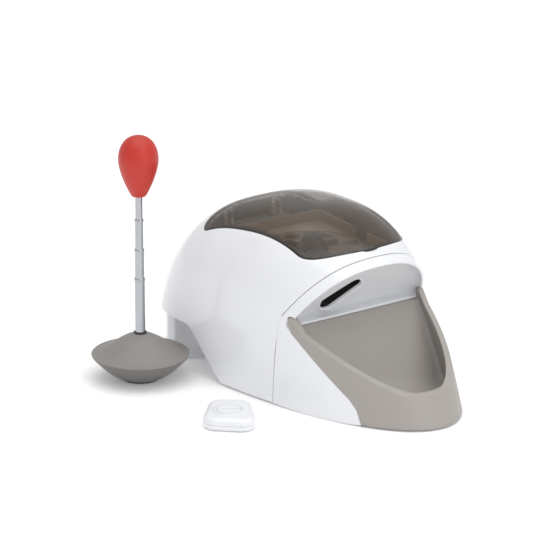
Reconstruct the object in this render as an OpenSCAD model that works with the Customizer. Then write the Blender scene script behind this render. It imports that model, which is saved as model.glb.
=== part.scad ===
// Remote-controlled treat dispenser with its target wand and hand remote.
// The nose points to -Y, the tail to +Y and +Z is up. The origin is at the
// middle of the base's underside; the rubber feet stand just below it.

/* [Dispenser shell] */
// Overall length, nose to tail
body_l = 400; // [390:5:480]
// Overall width at the widest section
body_w = 214; // [206:2:258]
// Height of the crown above the underside
body_h = 185; // [183:1:224]
// Distance from the nose back to the crown
crown_back = 227; // [222:1:232]
// Distance from the nose back to the widest section at the foot
wide_back = 291; // [280:1:300]
// Wall of the white mouldings
shell_wall = 3; // [2.4:0.1:3.6]
// Gap between neighbouring mouldings
seam_gap = 0.4; // [0.3:0.05:0.8]
// Height of the shell's lower edge above the underside
edge_h = 0.5; // [0.3:0.1:2]
// Height of the lower edge under the tail
tail_edge_h = 50; // [44:1:56]
// Distance from the nose back to where the lower edge leaves the floor
edge_rise_back = 243; // [236:1:250]

/* [Seam and mouth] */
// Distance from the nose back to the foot of the seam
seam_back = 164; // [160:1:168]
// Height at which the seam turns forward
seam_bend_h = 92; // [88:1:96]
// Forward lean of the brow, per unit of height
brow_lean = 0.73; // [0.65:0.01:0.8]
// Depth of the brow band, front to back
brow_band = 15.6; // [13:0.2:18]
// Height of the ledge under the recess
ledge_h = 87; // [84:1:90]
// Depth of the recess behind the brow's lip
recess_depth = 12; // [10:0.5:14]
// Flat lip left round the recess
recess_lip = 3.5; // [3:0.1:4]
// Length of the treat slot
slot_l = 49; // [40:1:52]
// Width of the treat slot
slot_w = 10; // [9:0.5:12]

/* [Food bowl] */
// Height of the rim at the nose
rim_nose_h = 34; // [30:1:38]
// Rise of the rim towards the back, per unit of length
rim_slope = 0.465; // [0.42:0.005:0.5]
// Thickness of the bowl's double side wall
bowl_wall = 7; // [6:0.5:9]
// Height of the bowl's floor
bowl_floor_h = 8; // [6:0.5:12]
// Slope of the ramp down from the ledge
ramp_slope = 1.2; // [1:0.05:1.4]
// Radius between ramp and floor
ramp_r = 24; // [16:1:32]

/* [Lid] */
// Wall of the smoked lid
lid_wall = 2.3; // [2:0.1:2.6]
// Gap round the lid
lid_gap = 0.6; // [0.4:0.1:1]
// Half width of the lid at its front corners
lid_front_half = 66.5; // [62:0.5:70]
// Half width of the lid at its back corners
lid_back_half = 80.5; // [76:0.5:82]
// Distance from the nose back to the lid's front edge
lid_front_back = 123; // [121:1:128]
// Distance from the nose back to the lid's rear edge
lid_rear_back = 318; // [312:1:320]
// Radius of the lid's rear corners
lid_corner_r = 17; // [12:1:22]
// Radius of the hinge pins
hinge_pin_r = 1.5; // [1.2:0.1:2]

/* [Hopper and drive] */
// Height of the hopper's underside
hopper_h = 126; // [124:0.5:127]
// Thickness of the hopper's floor
hopper_floor = 2.4; // [2:0.1:3]
// Radius of the dispensing disk
disk_r = 60; // [56:1:61]
// Thickness of the dispensing disk
disk_t = 6; // [5:0.5:8]
// Number of pockets in the disk
pocket_n = 8; // [6:1:9]
// Radius of each pocket
pocket_r = 9; // [8:0.5:10]
// Radius at which the pockets sit
pocket_ring_r = 46; // [44:1:48]
// Radius of the drive shaft
shaft_r = 3; // [2.5:0.1:4]
// Running gap between a shaft and its bore
run_gap = 0.05; // [0.02:0.01:0.1]
// Gear module
gear_m = 1.5; // [1.5:0.1:1.6]
// Teeth on the drive gear
gear_teeth = 32; // [30:1:33]
// Teeth on the motor pinion
pinion_teeth = 12; // [10:1:14]

/* [Battery bay] */
// Diameter of a battery cell
cell_d = 33.2; // [32:0.1:34.2]
// Length of a battery cell
cell_l = 61; // [60:0.5:61.5]
// Thickness of the battery door
door_t = 2; // [1.6:0.1:2.2]
// Travel of the battery door along its rails
door_travel = 8; // [5:0.5:9]

/* [Rear panel] */
// Width of the control panel
panel_w = 92; // [88:1:100]
// Height of the control panel
panel_l = 46; // [44:1:50]
// Height of the panel's middle
panel_h = 100; // [98:1:104]
// Radius of a panel key
key_r = 5; // [4:0.5:6]
// Travel of a panel key
key_travel = 1; // [0.6:0.1:1.2]

/* [Target wand] */
// Distance of the wand's axis from the dispenser's side
wand_gap = 53; // [53:1:93]
// Distance from the nose back to the wand
wand_back = 312; // [300:1:320]
// Radius of the saucer foot
saucer_r = 52; // [48:1:52]
// Height of the saucer's rim above the floor
saucer_rim_h = 28; // [26:1:32]
// Height of the saucer's crown above the floor
saucer_h = 51; // [48:1:56]
// Outer radius of the lowest tube
tube_r = 5.3; // [5:0.1:6]
// Wall of each tube
tube_wall = 0.45; // [0.4:0.05:0.5]
// Height of the red tip
tip_h = 67; // [60:1:72]
// Largest radius of the red tip
tip_r = 21.2; // [18:0.2:24]

/* [Hand remote] */
// Distance of the remote's middle from the dispenser's side
remote_gap = 55; // [53:1:93]
// Distance from the nose back to the remote
remote_back = 150; // [140:1:160]
// Width of the remote at its wide end
remote_w = 56; // [52:1:60]
// Length of the remote
remote_l = 68; // [64:1:72]
// Thickness of the remote
remote_t = 14; // [13:0.5:16]
// Radius of the ring round the buttons
ring_r = 16; // [15:0.5:17]
// Travel of a remote button
button_travel = 0.8; // [0.5:0.1:1]

/* [Hidden] */
$fn = 64;
floor_z = -1.5;
tiny = 0.01;
nose_y = -body_l / 2;
tail_y = body_l / 2;
crown_y = nose_y + crown_back;
wide_y = nose_y + wide_back;
over = 20;
far = body_h + over;
// Curves of the shell: higher numbers make squarer sections
side_curve = 3.2;
nose_curve = 2.55;
tail_curve = 2.6;
front_curve = 2.05;
back_curve = 3.7;
ring_n = 12;
around_n = 48;

white = [0.93, 0.94, 0.96];
grey = [0.57, 0.55, 0.53];
smoke = [0.3, 0.26, 0.23, 0.6];
steel = [0.72, 0.73, 0.75];
dark = [0.15, 0.15, 0.16];
red = [0.8, 0.22, 0.18];
green = [0.1, 0.35, 0.2];
cream = [0.85, 0.83, 0.78];

// ---- Shell form: a closed helmet described by formulas ----

function rounded(t, n) = pow(max(0, 1 - pow(t, n)), 1 / n);
function helm_w(t, i) = (body_w / 2 - i) * rounded(t, side_curve);
function helm_front(t, i) = crown_y - (crown_y - nose_y - i) * pow(1 - t, 1 / nose_curve);
function helm_back(t, i) = crown_y + (tail_y - i - crown_y) * rounded(t, tail_curve);
function helm_mid(t, i) = max(helm_front(t, i), min(helm_back(t, i), wide_y + (crown_y - wide_y) * t * t));
function helm_pt(t, a, i) =
    let (
        front = cos(a) > 0,
        p = front ? front_curve + 0.3 * t : back_curve - 1.1 * t,
        c = pow(abs(cos(a)), 2 / p),
        s = pow(abs(sin(a)), 2 / p),
        mid = helm_mid(t, i),
        reach = front ? helm_front(t, i) - mid : helm_back(t, i) - mid
    )
    [helm_w(t, i) * s * sign(sin(a)), mid + reach * c];

// Half width of the shell at a place on its front half
function helm_half(y, z, i = 0) =
    let (
        t = z / (body_h - i),
        p = front_curve + 0.3 * t,
        mid = helm_mid(t, i),
        f = max(0, min(1, (mid - y) / (mid - helm_front(t, i))))
    )
    helm_w(t, i) * pow(1 - pow(f, p), 1 / p);

// The solid inside the shell's surface, moved in by i; low < 0 runs its foot straight down
module helm(i = 0, low = 0) {
    h = body_h - i;
    rings = concat(low < 0 ? [0] : [], [for (j = [0 : ring_n - 1]) pow(sin(90 * j / ring_n), 0.8)]);
    last = len(rings) - 1;
    zs = [for (j = [0 : last]) j == 0 ? low : h * rings[j]];
    pts = [
        for (j = [0 : last], k = [0 : around_n - 1])
            let (p = helm_pt(rings[j], 360 * k / around_n, i)) [p[0], p[1], zs[j]]
    ];
    sides = [
        for (j = [0 : last - 1], k = [0 : around_n - 1])
            let (a = j * around_n + k, b = j * around_n + (k + 1) % around_n)
            [a, a + around_n, b + around_n, b]
    ];
    top = len(pts);
    crown = [for (k = [0 : around_n - 1]) [top, last * around_n + (k + 1) % around_n, last * around_n + k]];
    foot = [[for (k = [0 : around_n - 1]) k]];
    polyhedron(concat(pts, [[0, crown_y, h]]), concat(sides, crown, foot), convexity = 6);
}

// A moulding with curved skins is one closed surface
module moulding() {
    resize([0, 0, 0]) children();
}

// A side view outline, points as [y, z], cut right across the body
module across(half = body_w) {
    rotate([90, 0, 90]) linear_extrude(2 * half, center = true) children();
}

module soften(r) {
    offset(r = r) offset(delta = -r) children();
}

module ring_plate(r, t, hole_r) {
    difference() {
        cylinder(r = r, h = t);
        translate([0, 0, -1]) cylinder(r = hole_r, h = t + 2);
    }
}

// ---- Seam, brow and bowl lines in the side view ----

seam_draft = 3.5;
seam_foot_y = nose_y + seam_back;
seam_bend_y = seam_foot_y - seam_draft;
function seam_y(z) =
    z < seam_bend_h ? seam_foot_y - seam_draft * z / seam_bend_h : seam_bend_y - brow_lean * (z - seam_bend_h);
function lip_y(z) = seam_bend_y - brow_lean * (z - seam_bend_h) - brow_band;
lean_angle = atan(brow_lean);

module behind_seam(gap = 0) {
    polygon([
        [seam_foot_y + gap, -over], [seam_bend_y + gap, seam_bend_h],
        [seam_y(far) + gap, far], [tail_y + over, far], [tail_y + over, -over]
    ]);
}

ear_r = 6;
ear_back_y = nose_y + 150;
ear_low_h = ledge_h - 0.5;
ear_top_h = ledge_h + 9;
toe_y = nose_y + 55.6;
cheek_slope = 0.78;
rim_flat_y = nose_y + 27;
rim_ear_y = nose_y + 130;
rim_ear_h = rim_nose_h + rim_slope * (rim_ear_y - rim_flat_y);

// Side view of the grey part that shows
module bowl_zone() {
    soften(ear_r) polygon([
        [nose_y - over, -over], [toe_y, -over], [toe_y, 0], [toe_y + 6.4, 15],
        [ear_back_y - (ear_low_h - 24.5) / cheek_slope, 24.5], [ear_back_y, ear_low_h],
        [ear_back_y, ear_top_h + 1], [ear_back_y - 7, ear_top_h],
        [rim_ear_y, rim_ear_h],
        [rim_flat_y, rim_nose_h], [nose_y - over, rim_nose_h - 2]
    ]);
}

ramp_foot_y = nose_y + 100 - (28 - bowl_floor_h) / ramp_slope;

module bowl_air_zone() {
    soften(ramp_r) polygon([
        [nose_y - 3 * over, bowl_floor_h], [ramp_foot_y, bowl_floor_h],
        [ramp_foot_y + (far - bowl_floor_h) / ramp_slope, far], [nose_y - 3 * over, far]
    ]);
}

// Side view of everything under the rim, for the inner tub behind the cheeks
module below_rim() {
    polygon([
        [nose_y - over, -over], [ear_back_y, -over], [ear_back_y, ledge_h - 3.2], [ear_back_y - 6, ledge_h - 3.2],
        [rim_ear_y, rim_ear_h - 1.2],
        [rim_flat_y, rim_nose_h - 1], [nose_y - over, rim_nose_h - 3]
    ]);
}

// ---- Recess in the brow: a shallow dish on the leaning lip plane ----

function lip_top(i, lo, hi, n) =
    let (m = (lo + hi) / 2)
    n == 0 ? m : helm_front(m / (body_h - i), i) < lip_y(m) ? lip_top(i, m, hi, n - 1) : lip_top(i, lo, m, n - 1);
dish_curve = 3;

// A place on the shell's section through the lip plane, moved in by i
function lip_pt(a, i, top) =
    let (z = ledge_h + (top - ledge_h) * abs(sin(a)))
    [sign(cos(a)) * helm_half(lip_y(z), z, i), sign(sin(a)) * (z - ledge_h) / cos(lean_angle)];

// Local x runs across, y up the lip plane and z out to the front
module on_lip() {
    translate([0, lip_y(ledge_h), ledge_h]) rotate([90 + lean_angle, 0, 0]) children();
}

module dish(grow = 0) {
    steps = 9;
    n = 40;
    i = recess_lip - grow;
    c = recess_depth + grow;
    top = lip_top(i, ledge_h, body_h, 20);
    edge = [for (k = [0 : n - 1]) lip_pt(360 * (k + 0.5) / n, i, top)];
    radii = [for (j = [0 : steps - 1]) pow(cos(90 * max(0, j - 1) / (steps - 1)), 0.6)];
    pts = [
        for (j = [0 : steps - 1], k = [0 : n - 1])
            [edge[k][0] * radii[j], edge[k][1] * radii[j],
             j == 0 ? 1 : -max(0.5, c * pow(1 - pow(radii[j], dish_curve), 1 / dish_curve))]
    ];
    sides = [
        for (j = [0 : steps - 2], k = [0 : n - 1])
            let (p = j * n + k, q = j * n + (k + 1) % n) [p, q, q + n, p + n]
    ];
    rim = [[for (k = [n - 1 : -1 : 0]) k]];
    deep = [for (k = [0 : n - 1]) [steps * n, (steps - 1) * n + k, (steps - 1) * n + (k + 1) % n]];
    polyhedron(concat(pts, [[0, 0, -c]]), concat(sides, deep, rim), convexity = 4);
}

slot_x = -22;
slot_up = 20;
slot_tilt = 44;

module slot_outline(grow = 0) {
    translate([slot_x, slot_up]) rotate(slot_tilt) hull() {
        for (s = [-1, 1]) translate([s * (slot_l - slot_w) / 2, 0]) circle(slot_w / 2 + grow);
    }
}

sill_w = 2;
sill_proud = 2;

// Raised sill along the lower edge of the slot
module slot_sill() {
    difference() {
        translate([0, 0, -recess_depth - 1]) linear_extrude(sill_proud + 1.8) slot_outline(sill_w);
        translate([slot_x, slot_up, -far]) rotate(slot_tilt) translate([-slot_l, -1, 0]) cube([2 * slot_l, slot_l, 2 * far]);
    }
}

module above(z) {
    translate([-body_w, nose_y - over, z]) cube([2 * body_w, body_l + 2 * over, far]);
}

// ---- White mouldings ----

lid_front_r = 42;
function lid_half(y) = lid_front_half + (lid_back_half - lid_front_half)
    * (y - nose_y - lid_front_back - lid_front_r) / (lid_rear_back - lid_front_back - lid_front_r);

module lid_outline(grow = 0) {
    offset(delta = grow) hull() {
        translate([0, nose_y + lid_front_back + lid_front_r]) scale([lid_front_half, lid_front_r]) circle(1);
        for (s = [-1, 1])
            translate([s * (lid_back_half - lid_corner_r), nose_y + lid_rear_back - lid_corner_r]) circle(lid_corner_r);
    }
}

module lid_prism(grow = 0) {
    translate([0, 0, body_h / 2]) linear_extrude(far) lid_outline(grow);
}

lip_under = 2.2;

// The ledge under the lid's edge
module lid_rest() {
    difference() {
        intersection() {
            helm(lid_wall + 0.3);
            lid_prism(4);
        }
        helm(lid_wall + 0.3 + lip_under, -over);
    }
}

edge_rise_y = nose_y + edge_rise_back;

module tail_gap() {
    soften(20) polygon([
        [edge_rise_y - 60, -3 * over], [edge_rise_y, edge_h],
        [edge_rise_y + (tail_edge_h - edge_h) / 0.87, tail_edge_h],
        [tail_y + 3 * over, tail_edge_h], [tail_y + 3 * over, -3 * over]
    ]);
}

panel_tilt = 22.4;
panel_set = 6;
panel_y = helm_back(panel_h / body_h, 0);

// Local z is the panel's outward normal and y runs up it
module on_panel() {
    translate([0, panel_y, panel_h]) rotate([0, 0, 180]) rotate([90 - panel_tilt, 0, 0]) children();
}

module plate_outline(w, l, r) {
    offset(r = r) square([w - 2 * r, l - 2 * r], center = true);
}

pocket_r_out = 5;

module panel_pocket() {
    intersection() {
        helm(shell_wall / 2);
        on_panel() translate([0, 0, -panel_set - 3])
            linear_extrude(30) plate_outline(panel_w + 5, panel_l + 5, pocket_r_out + 2.5);
    }
}

hinge_x = 32;
hinge_y = nose_y + lid_rear_back + 13;
// A thicker wall lowers the pins, so that the barrels stay clear of the shell's slope
hinge_h = 157.2 - 1.4 * shell_wall;
barrel_r = 3;
arm_t = 5;
bracket_post_x = hinge_x + 9.6;
notch_w = arm_t + 1.6;

module main_housing() {
    color(white) moulding() difference() {
        union() {
            difference() {
                helm();
                helm(shell_wall, -over);
            }
            lid_rest();
            panel_pocket();
            intersection() {
                helm(shell_wall / 2);
                union() {
                    for (p = lug_places) translate([p[0], nose_y + p[1], lug_h]) cylinder(r = 4, h = body_h, $fn = 20);
                    for (s = [-1, 1]) translate([s * bracket_post_x, hinge_y, hinge_h - 13.9])
                        cylinder(r = 3, h = body_h, $fn = 20);
                }
            }
        }
        difference() {
            lid_prism();
            helm(lid_wall + 0.3);
        }
        lid_prism(-5);
        across() difference() {
            square([4 * body_l, 4 * far], center = true);
            behind_seam();
        }
        across() tail_gap();
        translate([0, 0, -over + edge_h - tiny]) translate([-body_w, nose_y - over, -far + over])
            cube([2 * body_w, body_l + 2 * over, far]);
        on_panel() translate([0, 0, -panel_set])
            linear_extrude(30) plate_outline(panel_w, panel_l, pocket_r_out);
        on_panel() translate([0, 0, -panel_set - over])
            linear_extrude(30) plate_outline(panel_w - 8, panel_l - 8, pocket_r_out - 2);
        for (s = [-1, 1]) translate([s * hinge_x - notch_w / 2, hinge_y - 18, body_h / 2])
            cube([notch_w, 23, far]);
        difference() {
            translate([-lid_swing_half, hinge_y - 22, hinge_h]) cube([2 * lid_swing_half, 22, far]);
            lid_swing(-0.3);
        }
        finger_scoop();
    }
}

lid_swing_half = 65;

// Radius about the hinge line of the middle of the lid's rear edge
function swing_r(x) =
    let (y = nose_y + lid_rear_back - 0.3)
    norm([hinge_y - y, roof_h(x, y, lid_wall / 2, hinge_h, body_h, 20) - hinge_h]);

// The round that the lid's rear edge turns in; lid and housing are both cut to it
module lid_swing(grow) {
    n = 12;
    xs = [for (k = [-n : n]) lid_swing_half * k / n];
    translate([0, hinge_y, hinge_h]) rotate([0, 90, 0]) rotate_extrude() polygon(concat(
        [[0, -lid_swing_half - 0.7]],
        [for (x = xs) [swing_r(x) + grow, x * 1.012]],
        [[0, lid_swing_half + 0.7]]
    ));
}

scoop_half = 11;
scoop_reach = 4.2;
scoop_depth = 1.9;
lid_edge_y = nose_y + lid_front_back;
lid_edge_run = (crown_y - lid_edge_y) / (crown_y - nose_y);
lid_edge_h = body_h * (1 - pow(lid_edge_run, nose_curve));
lid_edge_slope = body_h * nose_curve / (crown_y - nose_y) * pow(lid_edge_run, nose_curve - 1);

// Shallow hollow in the forehead for a finger under the lid's front edge
module finger_scoop() {
    translate([0, lid_edge_y + 0.4, lid_edge_h + 0.3]) rotate([atan(lid_edge_slope), 0, 0])
        scale([scoop_half, scoop_reach, scoop_depth]) sphere(1, $fn = 36);
}

module front_bezel() {
    color(white) moulding() difference() {
        union() {
            bezel_shell();
            on_lip() slot_sill();
        }
        on_lip() translate([0, 0, -far]) linear_extrude(far - recess_depth / 2) slot_outline();
    }
}

module bezel_shell() {
    under = ledge_h - shell_wall + 0.4;
    difference() {
        helm();
        difference() {
            across() behind_seam(-seam_gap);
            helm(shell_wall + seam_gap, -over);
        }
        across() offset(delta = seam_gap) bowl_zone();
        across() polygon([
            [nose_y - over, rim_nose_h - 8], [rim_flat_y, rim_nose_h - 4], [rim_ear_y, rim_ear_h - 4],
            [ear_back_y - 8, ledge_h - 3.4],
            [lip_y(ledge_h - 4), ledge_h - 4], [lip_y(far), far], [nose_y - over, far]
        ]);
        translate([-body_w, nose_y - over, -far + edge_h]) cube([2 * body_w, body_l + 2 * over, far]);
        intersection() {
            on_lip() dish();
            above(ledge_h);
        }
        difference() {
            helm(shell_wall, -over);
            intersection() {
                union() {
                    on_lip() dish(shell_wall - 0.6);
                    on_lip() translate([-body_w, -over, -shell_wall]) cube([2 * body_w, far, shell_wall + over]);
                }
                above(under);
            }
            translate([-body_w, lip_y(ledge_h) - 1, under + 0.02]) cube([2 * body_w, 14, ledge_h - under]);
        }
    }
}

module food_bowl() {
    color(grey) moulding() difference() {
        union() {
            intersection() {
                helm();
                across() bowl_zone();
            }
            intersection() {
                helm(shell_wall + 2);
                across() intersection() {
                    offset(delta = 2.6) bowl_air_zone();
                    below_rim();
                }
            }
        }
        intersection() {
            helm(bowl_wall, -over);
            across() bowl_air_zone();
        }
        translate([-body_w, nose_y - over, -far + edge_h]) cube([2 * body_w, body_l + 2 * over, far]);
    }
}

// ---- Lid ----

module lid() {
    color(smoke) moulding() difference() {
        intersection() {
            helm();
            lid_prism(-lid_gap);
        }
        helm(lid_wall, -over);
        lid_swing(0.3);
    }
}

// Goose-neck arms under the lid, reaching back to the hinge pins
module lid_hinge_arms() {
    color(smoke) for (s = [-1, 1]) translate([s * hinge_x, 0, 0]) difference() {
        across_arm() union() {
            translate([hinge_y, hinge_h]) circle(barrel_r);
            hull() {
                translate([hinge_y, hinge_h]) circle(3);
                translate([hinge_y - 9, hinge_h - 1]) circle(2.2);
            }
            hull() {
                translate([hinge_y - 9, hinge_h - 1]) circle(2.2);
                translate([hinge_y - 26, arm_top_h() - 2.3]) circle(2.2);
            }
        }
        translate([0, hinge_y, hinge_h]) rotate([0, 90, 0]) cylinder(r = hinge_pin_r + run_gap, h = arm_t + 2, center = true);
    }
}

// Underside of the lid above the front end of an arm
function roof_h(x, y, i, lo, hi, n) =
    let (
        m = (lo + hi) / 2,
        t = m / (body_h - i),
        p = back_curve - 1.1 * t,
        mid = helm_mid(t, i),
        reach = helm_back(t, i) - mid,
        inside = abs(x) < helm_w(t, i) && y < helm_back(t, i)
            && pow(abs(x) / helm_w(t, i), p) + pow(max(0, (y - mid) / reach), p) < 1
    )
    n == 0 ? m : inside ? roof_h(x, y, i, m, hi, n - 1) : roof_h(x, y, i, lo, m, n - 1);
function arm_top_h() = roof_h(hinge_x + arm_t / 2, hinge_y - 25.2, lid_wall + 0.1, hinge_h - 20, body_h - 3, 20);

module across_arm() {
    rotate([90, 0, 90]) linear_extrude(arm_t, center = true) children();
}

bracket_t = 3;

// Bracket under the shell's tail that carries the pins
module hinge_bracket() {
    ear_gap = arm_t + 0.8;
    color(white) difference() {
        union() {
            for (s = [-1, 1], e = [-1, 1])
                translate([s * hinge_x + e * (ear_gap + bracket_t) / 2, 0, 0]) rotate([90, 0, 90])
                    linear_extrude(bracket_t, center = true) hull() {
                        translate([hinge_y, hinge_h]) circle(barrel_r);
                        translate([hinge_y - 4, hinge_h - 14]) square([8, 4]);
                    }
            translate([-bracket_post_x - 5, hinge_y - 8, hinge_h - 17]) cube([2 * bracket_post_x + 10, 16, 3]);
        }
        for (s = [-1, 1]) translate([s * hinge_x, hinge_y, hinge_h]) rotate([0, 90, 0])
            cylinder(r = hinge_pin_r, h = 30, center = true);
    }
}

module hinge_pins() {
    color(steel) for (s = [-1, 1]) translate([s * hinge_x, hinge_y, hinge_h]) rotate([0, 90, 0])
        cylinder(r = hinge_pin_r, h = arm_t + 0.8 + 2 * bracket_t, center = true);
}

// ---- Hopper and drive ----

disk_y = nose_y + 222;
well_r = disk_r + 1;
well_h = hopper_h + hopper_floor;
deck_h = well_h + disk_t + 0.8;
hopper_rim_h = deck_h + 11;
drop_x = slot_x - 2;
drop_y = disk_y - sqrt(pocket_ring_r * pocket_ring_r - drop_x * drop_x);
drop_r = pocket_r + 1;

module hopper_outline(grow = 0) {
    offset(r = 8 + grow) offset(delta = -8) intersection() {
        offset(delta = -12) lid_outline();
        translate([-body_w / 2, nose_y + 138]) square([body_w, lid_rear_back - 138 - 16]);
    }
}

// Screw lugs at the hopper's sides, under posts in the shell: x, distance from the nose
lug_places = [[75, 190], [-75, 190], [80, 276], [-80, 276]];
lug_h = deck_h + 4;

module hopper() {
    color(cream) difference() {
        union() {
            translate([0, 0, hopper_h]) linear_extrude(hopper_rim_h - hopper_h) hopper_outline();
            for (p = lug_places) translate([0, nose_y + p[1], lug_h - 3]) hull() {
                translate([p[0], 0, 0]) cylinder(r = 5, h = 3, $fn = 32);
                translate([sign(p[0]) * (abs(p[0]) - 26), 0, 0]) cylinder(r = 5, h = 3, $fn = 32);
            }
        }
        translate([0, 0, deck_h]) linear_extrude(far) hopper_outline(-2);
        translate([0, disk_y, well_h]) cylinder(r = well_r, h = far);
        translate([drop_x, drop_y, hopper_h - 1]) cylinder(r = drop_r, h = hopper_floor + 2);
        translate([0, disk_y, hopper_h - 1]) cylinder(r = shaft_r + run_gap, h = hopper_floor + 2);
    }
}

module dispensing_disk() {
    color(white) translate([0, disk_y, well_h + 0.4]) difference() {
        cylinder(r = disk_r, h = disk_t);
        translate([0, 0, -1]) cylinder(r = shaft_r, h = disk_t + 2);
        for (k = [0 : pocket_n - 1]) rotate(360 * k / pocket_n + pocket_phase)
            translate([pocket_ring_r, 0, -1]) cylinder(r = pocket_r, h = disk_t + 2);
    }
}

// At rest the web between two pockets closes the drop window
pocket_phase = atan2(drop_y - disk_y, drop_x) + 180 / pocket_n;

cap_h = 16;

module stirrer_cap() {
    color(dark) translate([0, disk_y, well_h + 0.4 + disk_t]) {
        difference() {
            union() {
                cylinder(r1 = 17, r2 = 9, h = cap_h);
                for (k = [0 : 2]) rotate(120 * k) translate([0, -3, 0]) cube([31, 6, 5]);
            }
            translate([0, 0, -1]) cylinder(r = shaft_r, h = cap_h - 4);
        }
    }
}

guard_gap = 1;

// Hood that keeps loose treats off the pocket above the drop window
module pocket_guard() {
    a = atan2(drop_y - disk_y, drop_x);
    color(dark) translate([0, disk_y, deck_h + guard_gap - 0.4]) difference() {
        rotate(a) translate([pocket_ring_r, 0, 0]) difference() {
            union() {
                cylinder(r = drop_r + 3, h = 9);
                translate([0, -drop_r - 3, 0]) cube([well_r - pocket_ring_r + 3, 2 * drop_r + 6, 9]);
            }
            translate([0, 0, -1]) cylinder(r = drop_r, h = 8);
        }
        difference() {
            translate([0, 0, -1]) cylinder(r = 3 * disk_r, h = 20);
            translate([0, -disk_y, -2]) linear_extrude(22) hopper_outline(-2.05);
        }
    }
}

gear_z = hopper_h - 12;
gear_t = 6;
gear_pitch_r = gear_m * gear_teeth / 2;
pinion_pitch_r = gear_m * pinion_teeth / 2;
motor_y = disk_y + gear_pitch_r + pinion_pitch_r + 0.15;
bracket_h = gear_z - 6;

function tooth_pts(n, r) = [
    for (k = [0 : n - 1], q = [[-0.30, -1.2], [-0.23, -0.2], [-0.11, 0.9], [0.11, 0.9], [0.23, -0.2], [0.30, -1.2]])
        let (a = 360 * (k + q[0]) / n, d = r + q[1] * gear_m) [d * cos(a), d * sin(a)]
];

module drive_shaft() {
    low = bracket_h - 2;
    color(steel) translate([0, disk_y, low])
        cylinder(r = shaft_r, h = well_h + 0.4 + disk_t + cap_h - 6 - low);
}

module drive_gear() {
    color(cream) translate([0, disk_y, gear_z]) difference() {
        union() {
            linear_extrude(gear_t) rotate(90 + 180 / gear_teeth) polygon(tooth_pts(gear_teeth, gear_pitch_r));
            translate([0, 0, -3]) cylinder(r = 7, h = gear_t + 5);
        }
        translate([0, 0, -4]) cylinder(r = shaft_r, h = gear_t + 8);
        for (k = [0 : 5]) rotate(60 * k) translate([15, 0, -1]) cylinder(r = 4.5, h = gear_t + 2);
    }
}

module motor_pinion() {
    color(cream) translate([0, motor_y, gear_z]) difference() {
        linear_extrude(gear_t) rotate(-90) polygon(tooth_pts(pinion_teeth, pinion_pitch_r));
        translate([0, 0, -1]) cylinder(r = 1.5, h = gear_t + 2);
    }
}

// Three pillars hang the bracket from the hopper's underside
pillar_places = [[38, -34], [-44, 12], [30, 46]];

module motor_bracket() {
    color(cream) difference() {
        union() {
            translate([0, disk_y, bracket_h]) linear_extrude(2.4) hull() {
                for (p = pillar_places) translate(p) circle(6);
                translate([0, motor_y - disk_y]) circle(18);
            }
            for (p = pillar_places) translate([p[0], disk_y + p[1], bracket_h]) cylinder(r = 4, h = hopper_h - bracket_h);
        }
        translate([0, disk_y, bracket_h - 1]) cylinder(r = shaft_r + run_gap, h = 5);
        translate([0, motor_y, bracket_h - 1]) cylinder(r = 4, h = 5);
    }
}

module gear_motor() {
    color(steel) translate([0, motor_y, 0]) {
        translate([0, 0, bracket_h - 20]) cylinder(r = 16, h = 20);
        translate([0, 0, bracket_h - 48]) cylinder(r = 12, h = 28);
        translate([0, 0, bracket_h]) cylinder(r = 3.5, h = 2.4);
        translate([0, 0, bracket_h]) cylinder(r = 1.5 - run_gap, h = gear_z + gear_t - bracket_h);
    }
}

// ---- Chute ----

mouth_gap = 0.8;
mouth_n = recess_depth + shell_wall - 0.6 + mouth_gap;
function on_plane(p, n) = [
    lip_y(ledge_h) - p * sin(lean_angle) + n * cos(lean_angle), ledge_h + p * cos(lean_angle) + n * sin(lean_angle)
];
chute_wall = 1.8;
chute_w = slot_l * cos(slot_tilt) + slot_w + 2 * chute_wall;
chute_top = hopper_h - 0.3;
chute_back_y = drop_y + drop_r + 1.9;

module chute_side(inset) {
    low = on_plane(2 + inset, mouth_n);
    high_p = (chute_top - inset - ledge_h - mouth_n * sin(lean_angle)) / cos(lean_angle);
    high = on_plane(high_p, mouth_n);
    out = inset > 0 ? 3 : 0;
    polygon([
        low - [out, out * 0.7], [chute_back_y - inset, chute_top - 6 + inset], [chute_back_y - inset, chute_top - inset],
        high, high - [out, 0]
    ]);
}

module treat_chute() {
    color(white) translate([slot_x, 0, 0]) difference() {
        rotate([90, 0, 90]) linear_extrude(chute_w, center = true) chute_side(0);
        rotate([90, 0, 90]) linear_extrude(chute_w - 2 * chute_wall, center = true) chute_side(chute_wall);
        translate([drop_x - slot_x, drop_y, chute_top - 6]) cylinder(r = drop_r, h = 12);
    }
}

module treat_sensors() {
    color(dark) for (s = [-1, 1]) translate([slot_x + s * (chute_w / 2 + 3.2), nose_y + 158, ledge_h + 24])
        cube([6, 8, 8], center = true);
}

// ---- Base, battery bay and electronics ----

bay_y = nose_y + 208;
bay_w = 2 * cell_d + 2.2;
bay_l = 2 * cell_l + 10;
bay_h = cell_d + 7;
base_t = 2.5;
tub_half = 66;
foot_half = 95;
foot_front_y = nose_y + 338;
foot_back_y = tail_y - 18;
wall_h = 57;
cell_x = cell_d / 2 + 0.3;
cell_z = door_t + 0.5 + cell_d / 2;
door_w = bay_w + 8;
door_l = bay_l + 8;

module base_outline() {
    intersection() {
        offset(delta = -shell_wall - seam_gap - 0.4)
            polygon([for (k = [0 : around_n - 1]) helm_pt(0.02, 360 * k / around_n, 0)]);
        translate([-body_w / 2, nose_y + 70]) square([body_w, edge_rise_back - 76]);
    }
    translate([-tub_half, nose_y + 120]) square([2 * tub_half, foot_front_y - nose_y - 115]);
    foot_outline();
}

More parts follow.
